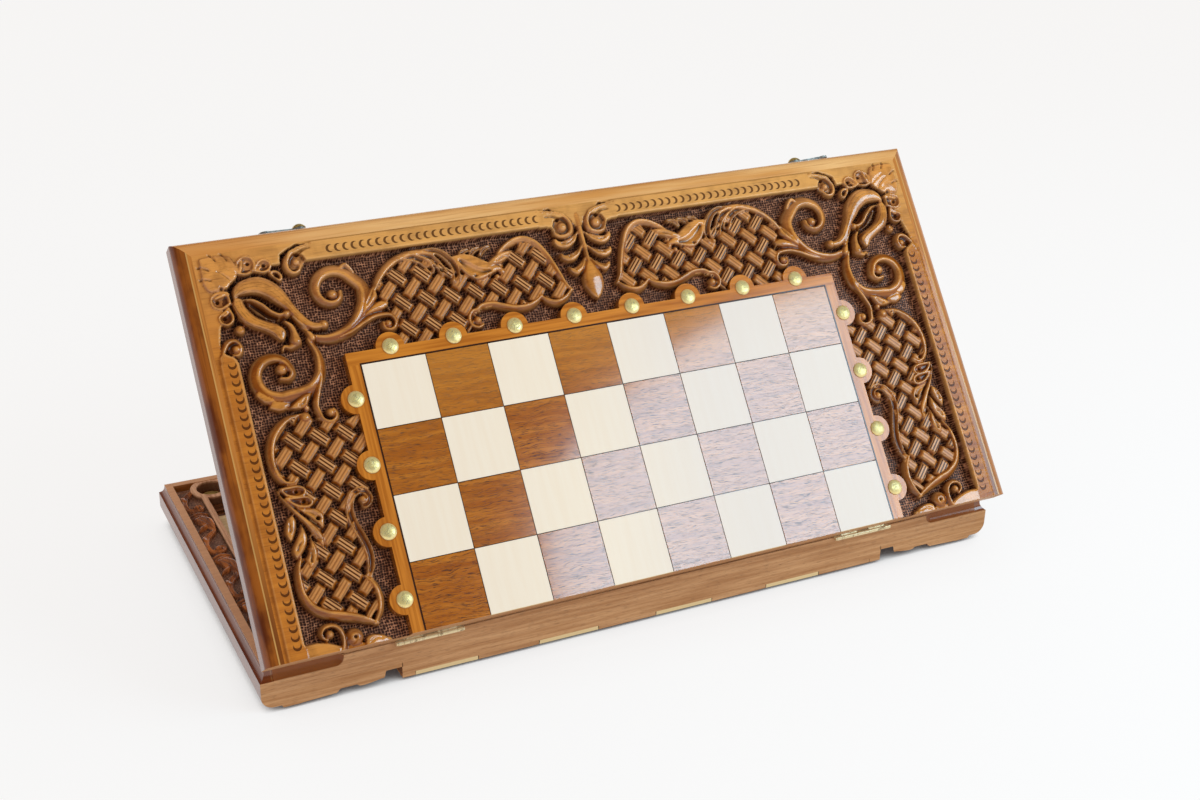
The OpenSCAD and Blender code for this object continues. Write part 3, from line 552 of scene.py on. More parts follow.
# the bud: two rounded petals that part over a hollow with a twisted leaf in it
lobe([(-267, 251), (-266, 257.5), (-261.3, 262.3), (-255.6, 264.4), (-249, 265.1), (-242.7, 263.7),
    (-236.3, 259.4), (-231.3, 253.7), (-227.7, 246.6), (-224.9, 240), (-220.6, 233), (-216.3, 228),
    (-212, 226.2), (-206, 226.5)], [(-267, 251), (-262, 251.5), (-257, 252), (-250, 250.5), (-243, 246),
    (-237, 240.5), (-232.5, 236), (-229.5, 231.5), (-225.5, 226), (-221, 222), (-215, 219.8),
    (-206, 220.5)], [8.6, 10.2, 10.9, 10.8, 10.2, 9.4, 8.8, 8.4], 0.25, 0.42, 5, 0.4, apart=True)
lobe([(-266, 252), (-268.6, 247), (-268.2, 242), (-266.3, 236.6), (-263.4, 231.6), (-257.7, 227.3),
    (-250.6, 223.7), (-245.6, 220.1), (-241.5, 216), (-238, 216)],
    [(-260.5, 250.5), (-258.5, 243.5), (-253.5, 236.5), (-247, 232.3), (-241, 229.8), (-236, 227),
    (-234.5, 222)], [8.4, 10, 10.8, 10.8, 10.2, 9.4, 8.6], 0.25, 0.4, 5, 0.55)
level([(-260, 250.3), (-254, 250.6), (-247, 246.8), (-241, 241), (-235, 236.8), (-232.6, 231), (-240, 231),
    (-247, 233.6), (-253.2, 238), (-257.6, 244.2)], 5.2)
incise([(-259.4, 251), (-252, 250.6), (-245, 246.4), (-238.6, 240)], [1.6, 4.6, 5.4, 2.6], 2.6)
stroke([(-259.4, 249.2), (-254, 247.4), (-248.5, 243), (-243.5, 237.5), (-238, 234.3), (-233, 234.6)],
    [2, 4.6, 5.2, 5.2, 5, 5.4], [8.8, 9.8, 10.2, 9.9, 9.6, 9.6], scroll)
incise([(-255.4, 245.4), (-249.8, 240.4), (-245.6, 236), (-240, 232.6)], [1, 2.6, 3, 2], 2.6)
ball(-232.9, 234.6, 3.6, 10.2)
ball(-208.4, 223.4, 4.2, 9.2)
stroke([(-235, 229.4), (-231.8, 226), (-230.5, 221), (-230.2, 214.6)], [3, 5.5, 6.5, 10],
    [8.8, 9.4, 9.6, 10.2], round_top)
stroke([(-231, 213), (-235, 211.2), (-239, 212.6), (-240.5, 209.5)], [8, 5.5, 3.5, 2], [9, 7.6, 6.4, 5.6],
    round_top)
stroke([(-229, 232), (-225, 226.5), (-221.5, 221), (-218.9, 215)], [2.5, 5, 4.5, 6.8], [8.8, 9.4, 9.2, 9.6],
    round_top)
for way, wide, deep in (
        ([(-240, 228), (-236, 225.5), (-234.3, 221.5), (-236, 217.5)], [1.2, 2.4, 2.6, 1.6], 3.4),
        ([(-229.5, 231), (-225.2, 225), (-221, 221), (-215, 219.4)], [1, 2, 2, 1], 2.6),
        ([(-231.5, 230), (-228, 225), (-226.4, 219), (-225.4, 212)], [1, 2.2, 2.6, 1.8], 3.4)):
    incise(way, wide, deep)
# large scrolls to either side of the bud
stroke([(-217, 215), (-207, 213.2), (-196, 215), (-187, 219.5), (-180, 227), (-175.5, 236), (-174.8, 246)]
    + curl(-196.5, 246, 17.8, 5.6, 25, 345, 10),
    [7, 7.5, 9, 10, 11, 11.4, 11.6, 11.6, 11.4, 11, 10.6, 10, 9.4, 8.6, 7.8, 6.8, 5.8, 5],
    [7.6, 8, 8.4, 8.8, 9, 9, 9, 8.8, 8.6, 8.6, 8.6, 8.4, 8], scroll)
ball(-197.3, 244, 4.4, 8.6)
stroke([(-190, 260), (-184, 264), (-178.5, 258)], [3, 4.6, 3], [7, 9.2, 7], round_top)
stroke([(-200, 213), (-190, 216.5), (-179, 221.5), (-170, 224.2)] + curl(-162.5, 217, 7.0, 4, 75, -190),
    [3, 6, 7, 6.4, 5.6, 5.2, 4.8, 4.4, 4], [7, 8, 8.6, 8.8, 8.6, 8.4, 8, 7.4], scroll_back)
ball(-162.5, 216.8, 3.6, 8.2)
lobe([(-182, 223), (-178, 234), (-172, 242), (-167, 246)], [(-171, 231), (-165, 238)], [7.6, 9.2, 9.2, 7.8],
    0.4, 0.3)
incise([(-175.5, 232), (-170.6, 238), (-168.4, 242)], [1, 2, 1.6], 2)
lobe([(-182, 223), (-172, 232), (-164, 235), (-157.5, 232)], [(-171, 225.5), (-163, 227)],
    [7.4, 8.4, 8.2, 7.2], 0.4, 0.3)
stroke([(-221, 214), (-217.5, 205), (-217, 196), (-219.5, 187.5), (-225.5, 181), (-234, 178), (-243, 177)]
    + curl(-249, 193, 16.4, 11.4, 268, 20, 8) + [(-237.6, 192.4), (-241, 189), (-246, 189.6)],
    [5, 6.5, 8, 9, 10, 10.6, 11, 11.4, 11.4, 11.2, 10.8, 10.2, 9.6, 8.8, 8, 7, 6, 5],
    [8, 8.2, 8.4, 8.8, 9, 9, 9, 8.8, 8.6, 8.6, 8.6, 8.4, 8], scroll_back)
ball(-244.6, 196.6, 4.7, 8.8)
stroke([(-218.5, 199), (-220, 187), (-224, 177), (-227, 168)] + curl(-218.5, 160.5, 7.8, 4.2, 175, 390),
    [3, 6, 6.6, 6.4, 5.8, 5.6, 5.2, 4.8, 4.4], [7, 8.2, 8.8, 8.8, 8.6, 8.4, 8, 7.4], scroll)
ball(-218, 161, 3.8, 8.4)
lobe([(-267, 181), (-264, 185.6), (-257, 183), (-249, 178)], [(-262, 174.5), (-255, 173.5)],
    [6.4, 7.6, 7.8, 7], 0.4, 0.3)
lobe([(-260, 171), (-256, 177.4), (-249, 176.4), (-243, 172)], [(-253, 167), (-247, 168)],
    [6, 7.2, 7.2, 6.6], 0.4, 0.3)
lobe([(-247.5, 168), (-241, 173.4), (-234, 177), (-227, 178)], [(-240, 166), (-233, 168)],
    [7.8, 9.2, 9.2, 8], 0.4, 0.35)
incise([(-238.6, 169), (-235.6, 170.4), (-233.6, 173.4)], [1.6, 1.8, 1], 2.2)
# side basketwork with its curled frame
weave([(-241, 163), (-254, 158), (-262, 148), (-265, 136), (-262, 122), (-257, 110), (-251, 98), (-249, 84),
    (-256, 72), (-264, 60), (-265, 46), (-260, 34), (-250, 26), (-236, 21), (-224, 17), (-217, 24),
    (-216, 40), (-217, 56), (-220, 76), (-221, 92), (-214, 103), (-198, 104), (-198, 158), (-212, 153),
    (-226, 158)], -229.6, 107.3)
stroke([(-240, 163.5), (-248, 162), (-256, 157), (-262, 150), (-265.4, 141), (-266.2, 132), (-264.4, 123.5),
    (-260, 118.2), (-255, 117), (-251.5, 119.6)], [3, 5.5, 6.8, 7.2, 7.4, 7.4, 7, 6.2, 5.4, 4],
    [7.2, 8.4, 9, 9.2, 9.2, 9, 8.8, 8.4, 8], scroll)
hole(-258.4, 120.4, 1.3)
ball(-236.5, 160.5, 4.8, 8.8)
ball(-234, 167, 3, 7.6)
loop([(-264.7, 114.6), (-261.9, 110.4), (-258.6, 108.6), (-254.1, 107.4), (-250.2, 108.2), (-248.6, 110.4),
    (-249.4, 112.8), (-253, 114.4), (-259, 114.6)], (-254.4, 111), 9, 6.6)
loop([(-262.4, 107.6), (-258.6, 103.6), (-254.7, 101), (-249.7, 99.8), (-246.4, 100.6), (-245.8, 102.9),
    (-247.4, 105.6), (-251, 106.6), (-257, 107)], (-250.8, 103.4), 9, 6.6)
lobe([(-261, 104), (-254.7, 100.4), (-249.7, 98.8), (-244.1, 97.7), (-240.2, 93.8), (-239.4, 89.9),
    (-240.8, 84.9), (-242.8, 82.5)], [(-256, 98), (-250.8, 92.7), (-246.9, 88.2)], [7.8, 8.6, 9, 9, 8.4],
    0.35, 0.1)
incise([(-252, 96.5), (-247.4, 94.6), (-244, 90.5)], [2, 4.6, 3.8], 2.4)
hole(-243.9, 90.4, 1.3)
lobe([(-267.5, 118), (-266.8, 110), (-263, 102), (-259, 95), (-255.2, 89.3), (-252.5, 84), (-249.8, 78),
    (-247, 72.5), (-244.5, 69.8)], [(-264, 109), (-260, 103), (-254.5, 96), (-249, 89.5), (-244.3, 83),
    (-242.7, 77.5), (-243, 73)], [7.8, 8.8, 9.4, 9.4, 9.2, 8.8, 8], 0.4, 0.3)
incise([(-258, 100.4), (-252.5, 94.4), (-247.6, 88.6), (-243, 82.6)], [0.6, 1.4, 1.8, 1.6], 1.8)
incise([(-249.5, 83), (-248, 79), (-246.2, 76.4)], [1, 1.8, 2.4], 2.4)
lobe([(-260.5, 97), (-264, 95), (-267.3, 90), (-268.7, 84.5), (-267.2, 80), (-265.2, 77.8)],
    [(-258.4, 93), (-259.2, 87), (-262, 81.5)], [7.4, 7.8, 7.6, 7], 0.35, 0.3)
incise([(-263.2, 93.5), (-264, 88.5), (-264.4, 85)], [1, 1.8, 1.6], 2)
lobe([(-256, 90), (-259, 84.3), (-263.6, 77.7), (-266.3, 73.2), (-266.3, 69.3), (-264.7, 65.6)],
    [(-253.6, 82), (-254.1, 76), (-256.9, 71.4), (-260.5, 67.8)], [8, 8.4, 8.2, 7.4], 0.35, 0.3)
incise([(-258.2, 77.4), (-261, 74.4), (-262.4, 71.6)], [1, 2, 1.8], 2)
lobe([(-251.9, 83), (-253.6, 75), (-256, 69), (-259.2, 64.5), (-256.9, 56.8)],
    [(-250.8, 76), (-249, 70.5), (-249, 65.5), (-252, 60.5)], [8.8, 9.4, 9.4, 8.8, 7.6], 0.4, 0.3)
incise([(-253.2, 70.5), (-254.2, 66), (-255, 62.6)], [1, 1.8, 2.4], 2.6)
stroke([(-261.5, 67), (-265, 60), (-266.6, 51), (-265.8, 41), (-261.2, 32), (-252.8, 26), (-243, 22.6),
    (-233.5, 19.2), (-226, 15.6), (-221, 12.6)], [3, 5.5, 6.6, 7, 7.6, 8.2, 8.6, 8.2, 6.6, 4],
    [7.2, 8.6, 9.2, 9.2, 9.2, 9.2, 9, 8.8, 7.8], scroll)
stroke([(-221.5, 13), (-216.4, 21), (-214.6, 30), (-216.3, 39), (-220.5, 45)], [4, 6, 6.6, 6.2, 4],
    [7.8, 9, 9.2, 9, 8.2], scroll)
stroke([(-219.6, 43), (-215.8, 52), (-215, 62), (-217.6, 73), (-220.8, 83), (-221.4, 92), (-218.4, 99.5)]
    + curl(-210.8, 97, 7.2, 4, 130, -90), [4, 6, 6.6, 6.8, 6.8, 6.8, 6.4, 5.8, 5.4, 5, 4.4],
    [8, 9, 9.2, 9.2, 9.2, 9, 8.8, 8.4, 8], channel)
ball(-210.5, 97, 3.6, 8.4)
# back basketwork with its curled frame
weave([(-168, 243), (-159, 250), (-148, 258), (-137, 262), (-122, 260), (-108, 250), (-96, 242), (-80, 239),
    (-72, 246), (-63, 256), (-52, 262), (-42, 260), (-33, 250), (-27, 235), (-21, 222), (-30, 213),
    (-44, 216), (-60, 213), (-80, 218), (-96, 214), (-103, 203), (-108, 198), (-162, 198), (-156, 214),
    (-160, 228)], -148.0, 230.5)
stroke([(-169, 240), (-163.4, 248.5), (-156.4, 256), (-147.4, 261.8), (-137, 265), (-127, 265.4),
    (-119, 263)], [4, 6, 6.8, 7.2, 7.2, 6.8, 6], [7.8, 9, 9.2, 9.4, 9.4, 9.2, 8.8], scroll_back)
for way, wide, x, s in (
        ([(-147, 262.5), (-136, 262.3), (-127, 258), (-121.5, 250.5)], [3, 5.6, 6.8, 6.4], -122.6, 252.2),
        ([(-136, 265), (-125, 262.8), (-117, 256), (-113, 247.4)], [3, 5.6, 6.4, 6], -113.8, 249.6),
        ([(-127, 266), (-115, 264), (-107.4, 257), (-103.6, 248), (-104.6, 241)], [3, 5.6, 6.6, 6.4, 5],
            -104.4, 244.6)):
    stroke(way, wide, [9, 9.4, 9.4, 9, 8.4], channel)
    hole(x, s, 1.3)
ball(-107.4, 240.4, 2.6, 8.6)
lobe([(-105, 259), (-100.5, 247), (-94, 239.8), (-87, 237.4), (-80, 239.6), (-74, 241.6), (-66, 243.5)],
    [(-96, 259.6), (-88, 257), (-80, 252), (-73, 248)], [8.6, 9.2, 9, 8.8, 8.2], 0.35)
incise([(-99, 254), (-93, 247.6), (-86, 243.8), (-78, 243.6)], [3, 7.4, 6.4, 2], 2.8)
hole(-90, 241.4, 1.3)
for x in (-96.0, -87.5, -79.0):
    stroke([(x - 3, 256.5), (x + 0.5, 260.6), (x + 5.6, 262)], [3, 4.8, 3], [8.2, 9, 8.2], channel)
lobe([(-84, 247), (-76, 252.5), (-68, 256.5), (-58.5, 257)], [(-75, 246.3), (-66, 248.5), (-61, 252)],
    [8.6, 9.8, 9.8, 8.8], 0.4, 0.3)
incise([(-72, 250), (-66.6, 252.3), (-62.6, 253)], [1, 1.8, 2.2], 2.2)
ball(-69, 242, 3.2, 8)
ball(-73.5, 238.5, 2.8, 7.8)
stroke([(-72, 252), (-64.5, 258), (-55.5, 262.8), (-46.5, 263.6), (-38.5, 258.8), (-32, 248.5), (-27, 236),
    (-23.4, 226), (-19, 219.8)], [3.5, 6, 7, 7.4, 7.4, 7, 6.8, 5.8, 3.5],
    [7.8, 8.8, 9.2, 9.4, 9.4, 9.2, 9, 8.6, 8], scroll)
stroke([(-19, 220), (-25, 214.6), (-32, 212), (-39, 213.8), (-45, 218.8)], [3.5, 6, 7, 6, 3.5],
    [8, 8.8, 9, 8.8, 8.2], scroll_back)
stroke([(-43.5, 218.3), (-50, 214.4), (-58, 212.3), (-67, 212.8), (-75, 215.5), (-83, 218.3), (-91, 218.2)]
    + curl(-96.3, 208.6, 7.4, 4.2, 80, 300), [3.5, 6, 7, 7.2, 7, 6.8, 6.4, 5.8, 5.4, 5, 4.4],
    [8.2, 9, 9.2, 9.2, 9.2, 9, 8.8, 8.4, 8], scroll_back)
ball(-96.6, 208.6, 3.8, 8.6)
# palmette on the middle line: three turned lobes a side, a stem and a drop
for lower, upper, slit in (
        ([(-1, 266), (-3, 260.5), (-6, 255.5), (-12, 251.6), (-17, 250.9), (-22, 253.4), (-24.2, 257),
            (-23.4, 260.5)], [(-5, 262), (-9, 260), (-13, 258.6), (-17, 258.2), (-19.5, 258.8),
            (-21, 260.5)], [(-17.8, 256), (-13.3, 255.4), (-8.9, 257.4), (-5, 260.5)]),
        ([(0, 256), (-2.3, 249.5), (-5.6, 244.6), (-10.1, 241.2), (-14.5, 240.2), (-19.5, 242),
            (-21.8, 245.5), (-21, 249)], [(-3.5, 252.5), (-7.5, 249.5), (-12, 247.8), (-15.5, 247.2),
            (-18, 247.6), (-19.3, 249.3)], [(-14.6, 245), (-9.5, 246.4), (-6.4, 249), (-3.5, 252.5)]),
        ([(0, 246), (-1.8, 240), (-4.4, 234.6), (-8.3, 230.8), (-11.4, 229.3), (-15.1, 230.8),
            (-17.5, 234.3), (-17, 238.3)], [(-3.5, 243), (-6.5, 239.8), (-10, 237.4), (-13, 236.6),
            (-15, 237.2)], [(-12, 234.6), (-7, 237), (-4.5, 240.3), (-2, 244)])):
    lobe(lower, upper, [7.4, 8.4, 9.2, 9.4, 9.2, 8.8], 0.3, 0.25)
    incise(slit, [2, 1.8, 1.6, 1], 2.4)
stroke([(0, 277), (0, 262), (0, 250), (0, 239)], [8, 5.4, 4.6, 4.2], [7.6, 9, 9.2, 9], round_top)
drop = [(0, 243), (-5, 236), (-8.5, 228), (-8.5, 220), (-4.5, 212.5), (0, 209)]
lobe(drop, [(-x, s) for x, s in drop[1:-1]], [8.8, 9.6, 9.6, 8.8, 7.2], 0.4, 0.3)
border.sand()


def on_half(half, spots):
    """Places in mm on a half as metres in the board's own frame."""
    x, s, d = np.asarray(spots, float).T
    s = s + HINGE_OUT
    if half == "lid":
        s, d = s * math.cos(LEAN) - d * math.sin(LEAN), s * math.sin(LEAN) + d * math.cos(LEAN)
    else:
        d = -d
    return np.stack([x, HINGE_Y + s, HINGE_Z + d], axis=1) / 1000


def make_piece(name, half, spots, faces, material, flat_from=None, marks=None):
    """A mesh from places in mm on a half. Faces after flat_from are left flat."""
    mesh = bpy.data.meshes.new(name)
    turn = -1 if half == "base" else 1
    mesh.from_pydata(on_half(half, spots).tolist(), [], [tuple(f)[::turn] for f in faces])
    for mark, value in (marks or {}).items():
        mesh.attributes.new(mark, "FLOAT", "POINT").data.foreach_set("value", np.asarray(value, np.float32))
    smooth = np.ones(len(mesh.polygons), bool)
    if flat_from is not None:
        smooth[flat_from:] = False
    mesh.polygons.foreach_set("use_smooth", smooth)
    mesh.materials.append(material)
    mesh.update()
    piece = bpy.data.objects.new(name, mesh)
    bpy.context.scene.collection.objects.link(piece)
    return piece


# the marks that a finish reads, with their values on the sides and under the foot of a piece
MARKS = {"gouge": BETWEEN, "cut": 0.0, "punched": 0.0, "strap": 0.0, "hollow": 0.0, "edge": 0.0,
         "steep": 2.0, "flat": 0.0, "crest": 0.85}


def carved_piece(name, half, carving, kept, level, foot, plates, material, mirrored, hollow_reach):
    """The carved surface over the kept cells, with sides down to its foot and plates under it.
    level turns a height over the ground into a place d."""
    ni, nj = carving.x.shape
    ids = np.arange(ni * nj).reshape(ni, nj)
    quads = np.stack([ids[:-1, :-1], ids[1:, :-1], ids[1:, 1:], ids[:-1, 1:]], axis=-1)
    around = np.pad(kept, 1)
    rims = [quads[kept & ~around[i:i + ni - 1, j:j + nj - 1]][:, list(pair)]
            for i, j, pair in ((1, 0, (0, 1)), (2, 1, (1, 2)), (1, 2, (2, 3)), (0, 1, (3, 0)))]
    quads, rim = quads[kept], np.vstack(rims)
    used = np.unique(quads)
    number = np.full(ni * nj, -1)
    number[used] = np.arange(len(used))
    top = np.stack([carving.x.ravel(), carving.s.ravel(), level(carving.z).ravel()], axis=1)
    high, low = top[rim.ravel()], top[rim.ravel()].copy()
    low[:, 2] = foot
    n, m = len(used), len(rim) * 2
    k = np.arange(len(rim)) * 2
    sides = np.stack([n + k + 1, n + k, n + m + k, n + m + k + 1], axis=1)
    under = np.array([(x, s, foot) for x0, x1, s0, s1 in plates
                      for x, s in ((x0, s0), (x0, s1), (x1, s1), (x1, s0))])
    base = n + 2 * m + np.arange(len(under)).reshape(-1, 4)
    spots = np.vstack([top[used], high, low, under])
    faces = np.vstack([number[quads], sides, base])
    if level(1.0) < level(0.0):
        faces = faces[:, ::-1]
    if mirrored:
        spots, faces = spots * (-1, 1, 1), faces[:, ::-1]
    fields = (carving.gouge, carving.cut, carving.ground, carving.strap, carving.hollow(hollow_reach),
              carving.hollow(1.4), carving.steep(), carving.flat, carving.crest)
    marks = {}
    for (mark, rest), field in zip(MARKS.items(), fields):
        marks[mark] = np.full(len(spots), rest)
        marks[mark][:n] = field.ravel()[used]
    return make_piece(name, half, spots, faces, material, len(quads), marks)


def read_marks(bench, names):
    return [bench.put("Attribute", {"attribute_name": n}, out=2) for n in names]


def gouge_line(gouge, near, far):
    """1 along the middle of each gouge mark."""
    return 1 - abs(gouge.work("FRACT", gouge + 0.5) - 0.5).beyond(near, far)


def punched_ground(bench, x, s, dark, pale, size):
    """Ground matted with a toothed punch: its colour, with painted glints on some rims between the pits, and
    its height in mm.
    """
    wander = bench.noise(bench.point(x * 0.05, s * 0.05), 2.0)
    where = bench.point((x + wander * 6) / size, (s - wander * 5) / size)
    values = {"Vector": where, "Scale": 1.0, "Randomness": 0.3}
    pits, glint = [bench.put("TexVoronoi", {"feature": "F1"}, values, out=n) for n in (0, 1)]
    ridge = pits.beyond(0.3, 0.58)
    # painted glints on some rims
    spark = bench.put("SeparateColor", None, {"Color": glint}).beyond(0.6, 0.8)
    return bench.mix(dark, pale, ridge * (0.4 + 0.6 * spark)), ridge


CRESCENT_PITCH, CRESCENTS_S, CRESCENTS_X = 6.1, 276.7, 277.8


def carved_finish(half):
    bench, x, s, d = half_bench("carved_walnut", half)
    gouge, cut, punched, strap, hollow, edge, steep, flat, crest = read_marks(bench, MARKS)
    figure = bench.grain(x, s, d, 60.0, 5.0, 4.0)
    streak = bench.grain(x, s, d, 26.0, 0.9, 3.0, 4.4)
    blotch = bench.noise(bench.point(x * 0.08, s * 0.08, d * 0.2), 4.0).beyond(0.42, 0.66)
    # the tops of the forms, which carry a painted highlight and a thicker coat
    shine = crest.beyond(0.9, 1.0) * (1 - flat) * (1 - strap)
    wood = bench.mix(stain(160, 86, 14), stain(206, 128, 36), figure.beyond(0.3, 0.72))
    # the forms are darker than the flats. Painted shade darkens the flanks and steep sides of the forms,
    # the creases at their feet and the hollows, where stain also pools. Painted sheen makes the back flats
    # and forms paler, the flats toward the left end are more orange, and the crests carry a painted
    # highlight, the ridges a painted highlight with some wear
    wood = wood.glazed(
        (120, 60, 10, streak.beyond(0.52, 0.78) * 0.6),
        (126, 54, 4, (1 - flat) * 0.55),
        # painted sheen: the flats are paler toward the back
        (240, 180, 104, s.beyond(190, 280) * flat * 0.72),
        # painted reflection: the back row of forms is paler
        (246, 176, 108, s.beyond(232, 264) * (1 - flat) * 0.5),
        (214, 134, 56, (0 - x).beyond(170, 290) * flat * 0.5),
        (208, 132, 60, strap * 0.85),
        # painted shade down the flanks of each form, below its crest
        (80, 36, 12, (1 - crest.beyond(0.5, 0.88)) * (1 - strap) * 0.86),
        # painted highlight on the crests
        (244, 166, 74, shine * 0.6),
        # darker in the hollows: stain that pools there and painted shade
        (70, 32, 12, hollow.beyond(0.4, 3.4) * 0.8),
        # painted shade on the steep sides
        (92, 42, 14, steep.beyond(0.7, 2.0) * 0.62),
        # painted shade in the creases at the feet of the forms
        (52, 24, 8, edge.beyond(0.16, 1.0) * (0.8 - flat * 0.45)),
        # painted highlight, with some wear, along the ridges
        (244, 190, 120, (1 - edge.beyond(-0.8, -0.2)) * (0.16 + flat * 0.14)))
    # lines that a narrow gouge left along petals, leaves and straps
    broken = bench.noise(bench.point(x * 0.25, s * 0.25, d * 0.25), 2.0).beyond(0.34, 0.6)
    groove = gouge_line(gouge, 0.06 + strap * 0.08, 0.2 + strap * 0.1) * cut * (strap + (1 - strap) * broken)
    # rows of crescent cuts along the raised rails: each lies between two circles
    rows, high = [], d.beyond(HALF_THICK - 0.4, HALF_THICK - 0.1)
    for along, across, turned, on in ((abs(x), s - CRESCENTS_S, True, abs(x).within(30.5, 195.2, 0.3)),
                                      (s, abs(x) - CRESCENTS_X, False, s.within(6.1, 207.4, 0.3))):
        u = along.work("FRACT", along / CRESCENT_PITCH) * CRESCENT_PITCH - CRESCENT_PITCH / 2
        u = 0 - u if turned else u
        outer, inner = [(w * w + across * across)**0.5 for w in (u, u - 1.25)]
        rows.append((1 - outer.beyond(2.75, 3.05)) * inner.beyond(2.3, 2.6) * on * high)
    marks = rows[0] + rows[1]
    wood = wood.glazed(
        # painted highlight on the straps' tops between the gouge lines
        (232, 190, 140, strap * cut * (1 - groove) * 0.35),
        (78, 38, 14, groove * (0.75 + strap * 0.2)),
        (98, 44, 12, (streak.beyond(0.5, 0.74) * 0.3 + blotch * 0.34) * (1 - strap * 0.6) * (1 - flat * 0.4)),
        (76, 36, 12, marks * 0.85))
    ground, ridge = punched_ground(bench, x, s, stain(60, 29, 19), stain(206, 142, 106), 1.9)
    # painted shade darkens the ground in the deep hollows
    ground = ground.glazed((36, 18, 12, hollow.beyond(3.0, 7.0) * 0.8))
    colour, cut_end = sawn_end(bench, bench.mix(wood, ground, punched), x, s, d)
    rough = 0.2 + streak * 0.08 + punched * 0.14 + cut_end * 0.3
    height = ridge * punched * 0.45 - groove * 0.35 - marks * 0.6 + streak * 0.04
    coat = (1 - cut_end * 0.8) * (1 - hollow.beyond(0.6, 3.0) * 0.8) * (1 - punched * 0.9) * (1 - strap * 0.5)
    return bench.lacquer(colour, rough, height, coat * (0.3 - flat * 0.2 + shine * 0.4) * (1 - marks))


def cell_middles(carving):
    return carving.x[:-1, :-1] + carving.cell / 2, carving.s[:-1, :-1] + carving.cell / 2


bosses = [((i - 3.5) * SQUARE, STRIP) for i in range(4)] + [(-STRIP, (j + 0.5) * SQUARE) for j in range(4)]
mid_x, mid_s = cell_middles(border)
kept = (mid_x < -STRIP + CELL) | (mid_s > STRIP - CELL)
for bx, bs in bosses:
    kept &= (mid_x - bx)**2 + (mid_s - bs)**2 > (BOSS_R - CELL)**2
border_feet = [(-CARVED_X, 0, STRIP - CELL, CARVED_S), (-CARVED_X, -STRIP + CELL, 0, STRIP - CELL)]
for half in HALVES:
    walnut = carved_finish(half)
    for side in ("left", "right"):
        piece = carved_piece(f"{half}_border_{side}", half, border, kept, lambda z: GROUND_D + z, CORE_D,
                             border_feet, walnut, side == "right", 3.0)
        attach(piece, half)
        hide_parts(f"{half}_carved_{side}", f"{half}_carved_back")

# ---- Strip round the squares ----
# A flat strip frames the squares on three sides, and swells to a round boss under each stud.
# It is left standing when the ground is cut back, is stained golden brown, and is lacquered.

FIELD = 4 * SQUARE


def strip_finish(half):
    bench, x, s, d = half_bench("strip_lacquer", half)
    back = s.beyond(FIELD - 0.5, FIELD + 0.5)
    runs = [bench.grain(along, across, d, 70.0, 2.6, 4.0) for along, across in ((x, s), (s, x))]
    figure = runs[0] * back + runs[1] * (1 - back)
    wood = bench.mix(stain(178, 100, 24), stain(218, 136, 44), figure.beyond(0.3, 0.7))
    # dark line let in between the strip and the squares
    line = (1 - s.beyond(FIELD + 0.9, FIELD + 1.1)) * (1 - abs(x).beyond(FIELD + 0.9, FIELD + 1.1))
    sides = 1 - d.beyond(HALF_THICK - 2.5, HALF_THICK - 0.2)
    wood = wood.glazed((112, 58, 18, sides * 0.7), (62, 34, 20, line))
    colour, cut_end = sawn_end(bench, wood, x, s, d)
    rough = 0.16 + figure * 0.08 + cut_end * 0.35
    return bench.lacquer(colour, rough, figure * 0.03, 0.5 - cut_end * 0.4)


for half in HALVES:
    wear(strip_finish(half), f"{half}_square_frame")

# ---- Chess squares ----
# The squares are veneered blocks laid four deep and eight across: dark ones in streaky stained
# oak with open pores, pale ones in maple. A thin dark line parts them, and one coat of lacquer
# levels the whole field. Their sawn ends show on the fold face.


def own_number(bench, x, s):
    """A number from 0 to 1 that each square has to itself, so that no two are alike."""
    cell = bench.point(x.work("FLOOR", x / SQUARE), s.work("FLOOR", s / SQUARE))
    return bench.put("TexWhiteNoise", {"noise_dimensions": "3D"}, {"Vector": cell})


def dark_square_finish(half):
    bench, x, s, d = half_bench("dark_square", half)
    own = own_number(bench, x, s)
    slant = s + x * 0.03 + own * 13 + bench.noise(bench.point(x * 0.06, s * 0.12, own * 9), 2.0) * 5
    figure = bench.grain(x + own * 90, slant, d, 60.0, 4.5, 4.0)
    streak = bench.grain(x + own * 40, slant, d, 20.0, 0.75, 3.0, 1.7)
    pores = bench.grain(x + own * 20, slant, d, 6.0, 0.42, 2.0, 3.3).beyond(0.55, 0.65)
    wood = bench.mix(stain(168, 88, 10), stain(200, 120, 30), figure.beyond(0.3, 0.7))
    wood = wood.glazed(
        (130, 62, 6, streak.beyond(0.48, 0.7) * 0.55),
        (62, 28, 6, pores * 0.85),
        (190, 122, 42, own * 0.2),
        # painted sheen: the back rows are paler
        (216, 146, 58, s.beyond(120, 190) * 0.4),
        (48, 26, 16, 1 - d.beyond(HALF_THICK - 0.9, HALF_THICK - 0.2)))
    colour, cut_end = sawn_end(bench, wood, x, s, d)
    rough = 0.14 + pores * 0.3 + streak * 0.08 + cut_end * 0.4
    height = streak * 0.03 - pores * 0.06
    return bench.lacquer(colour, rough, height, (1 - cut_end * 0.8) * (1 - pores * 0.3))


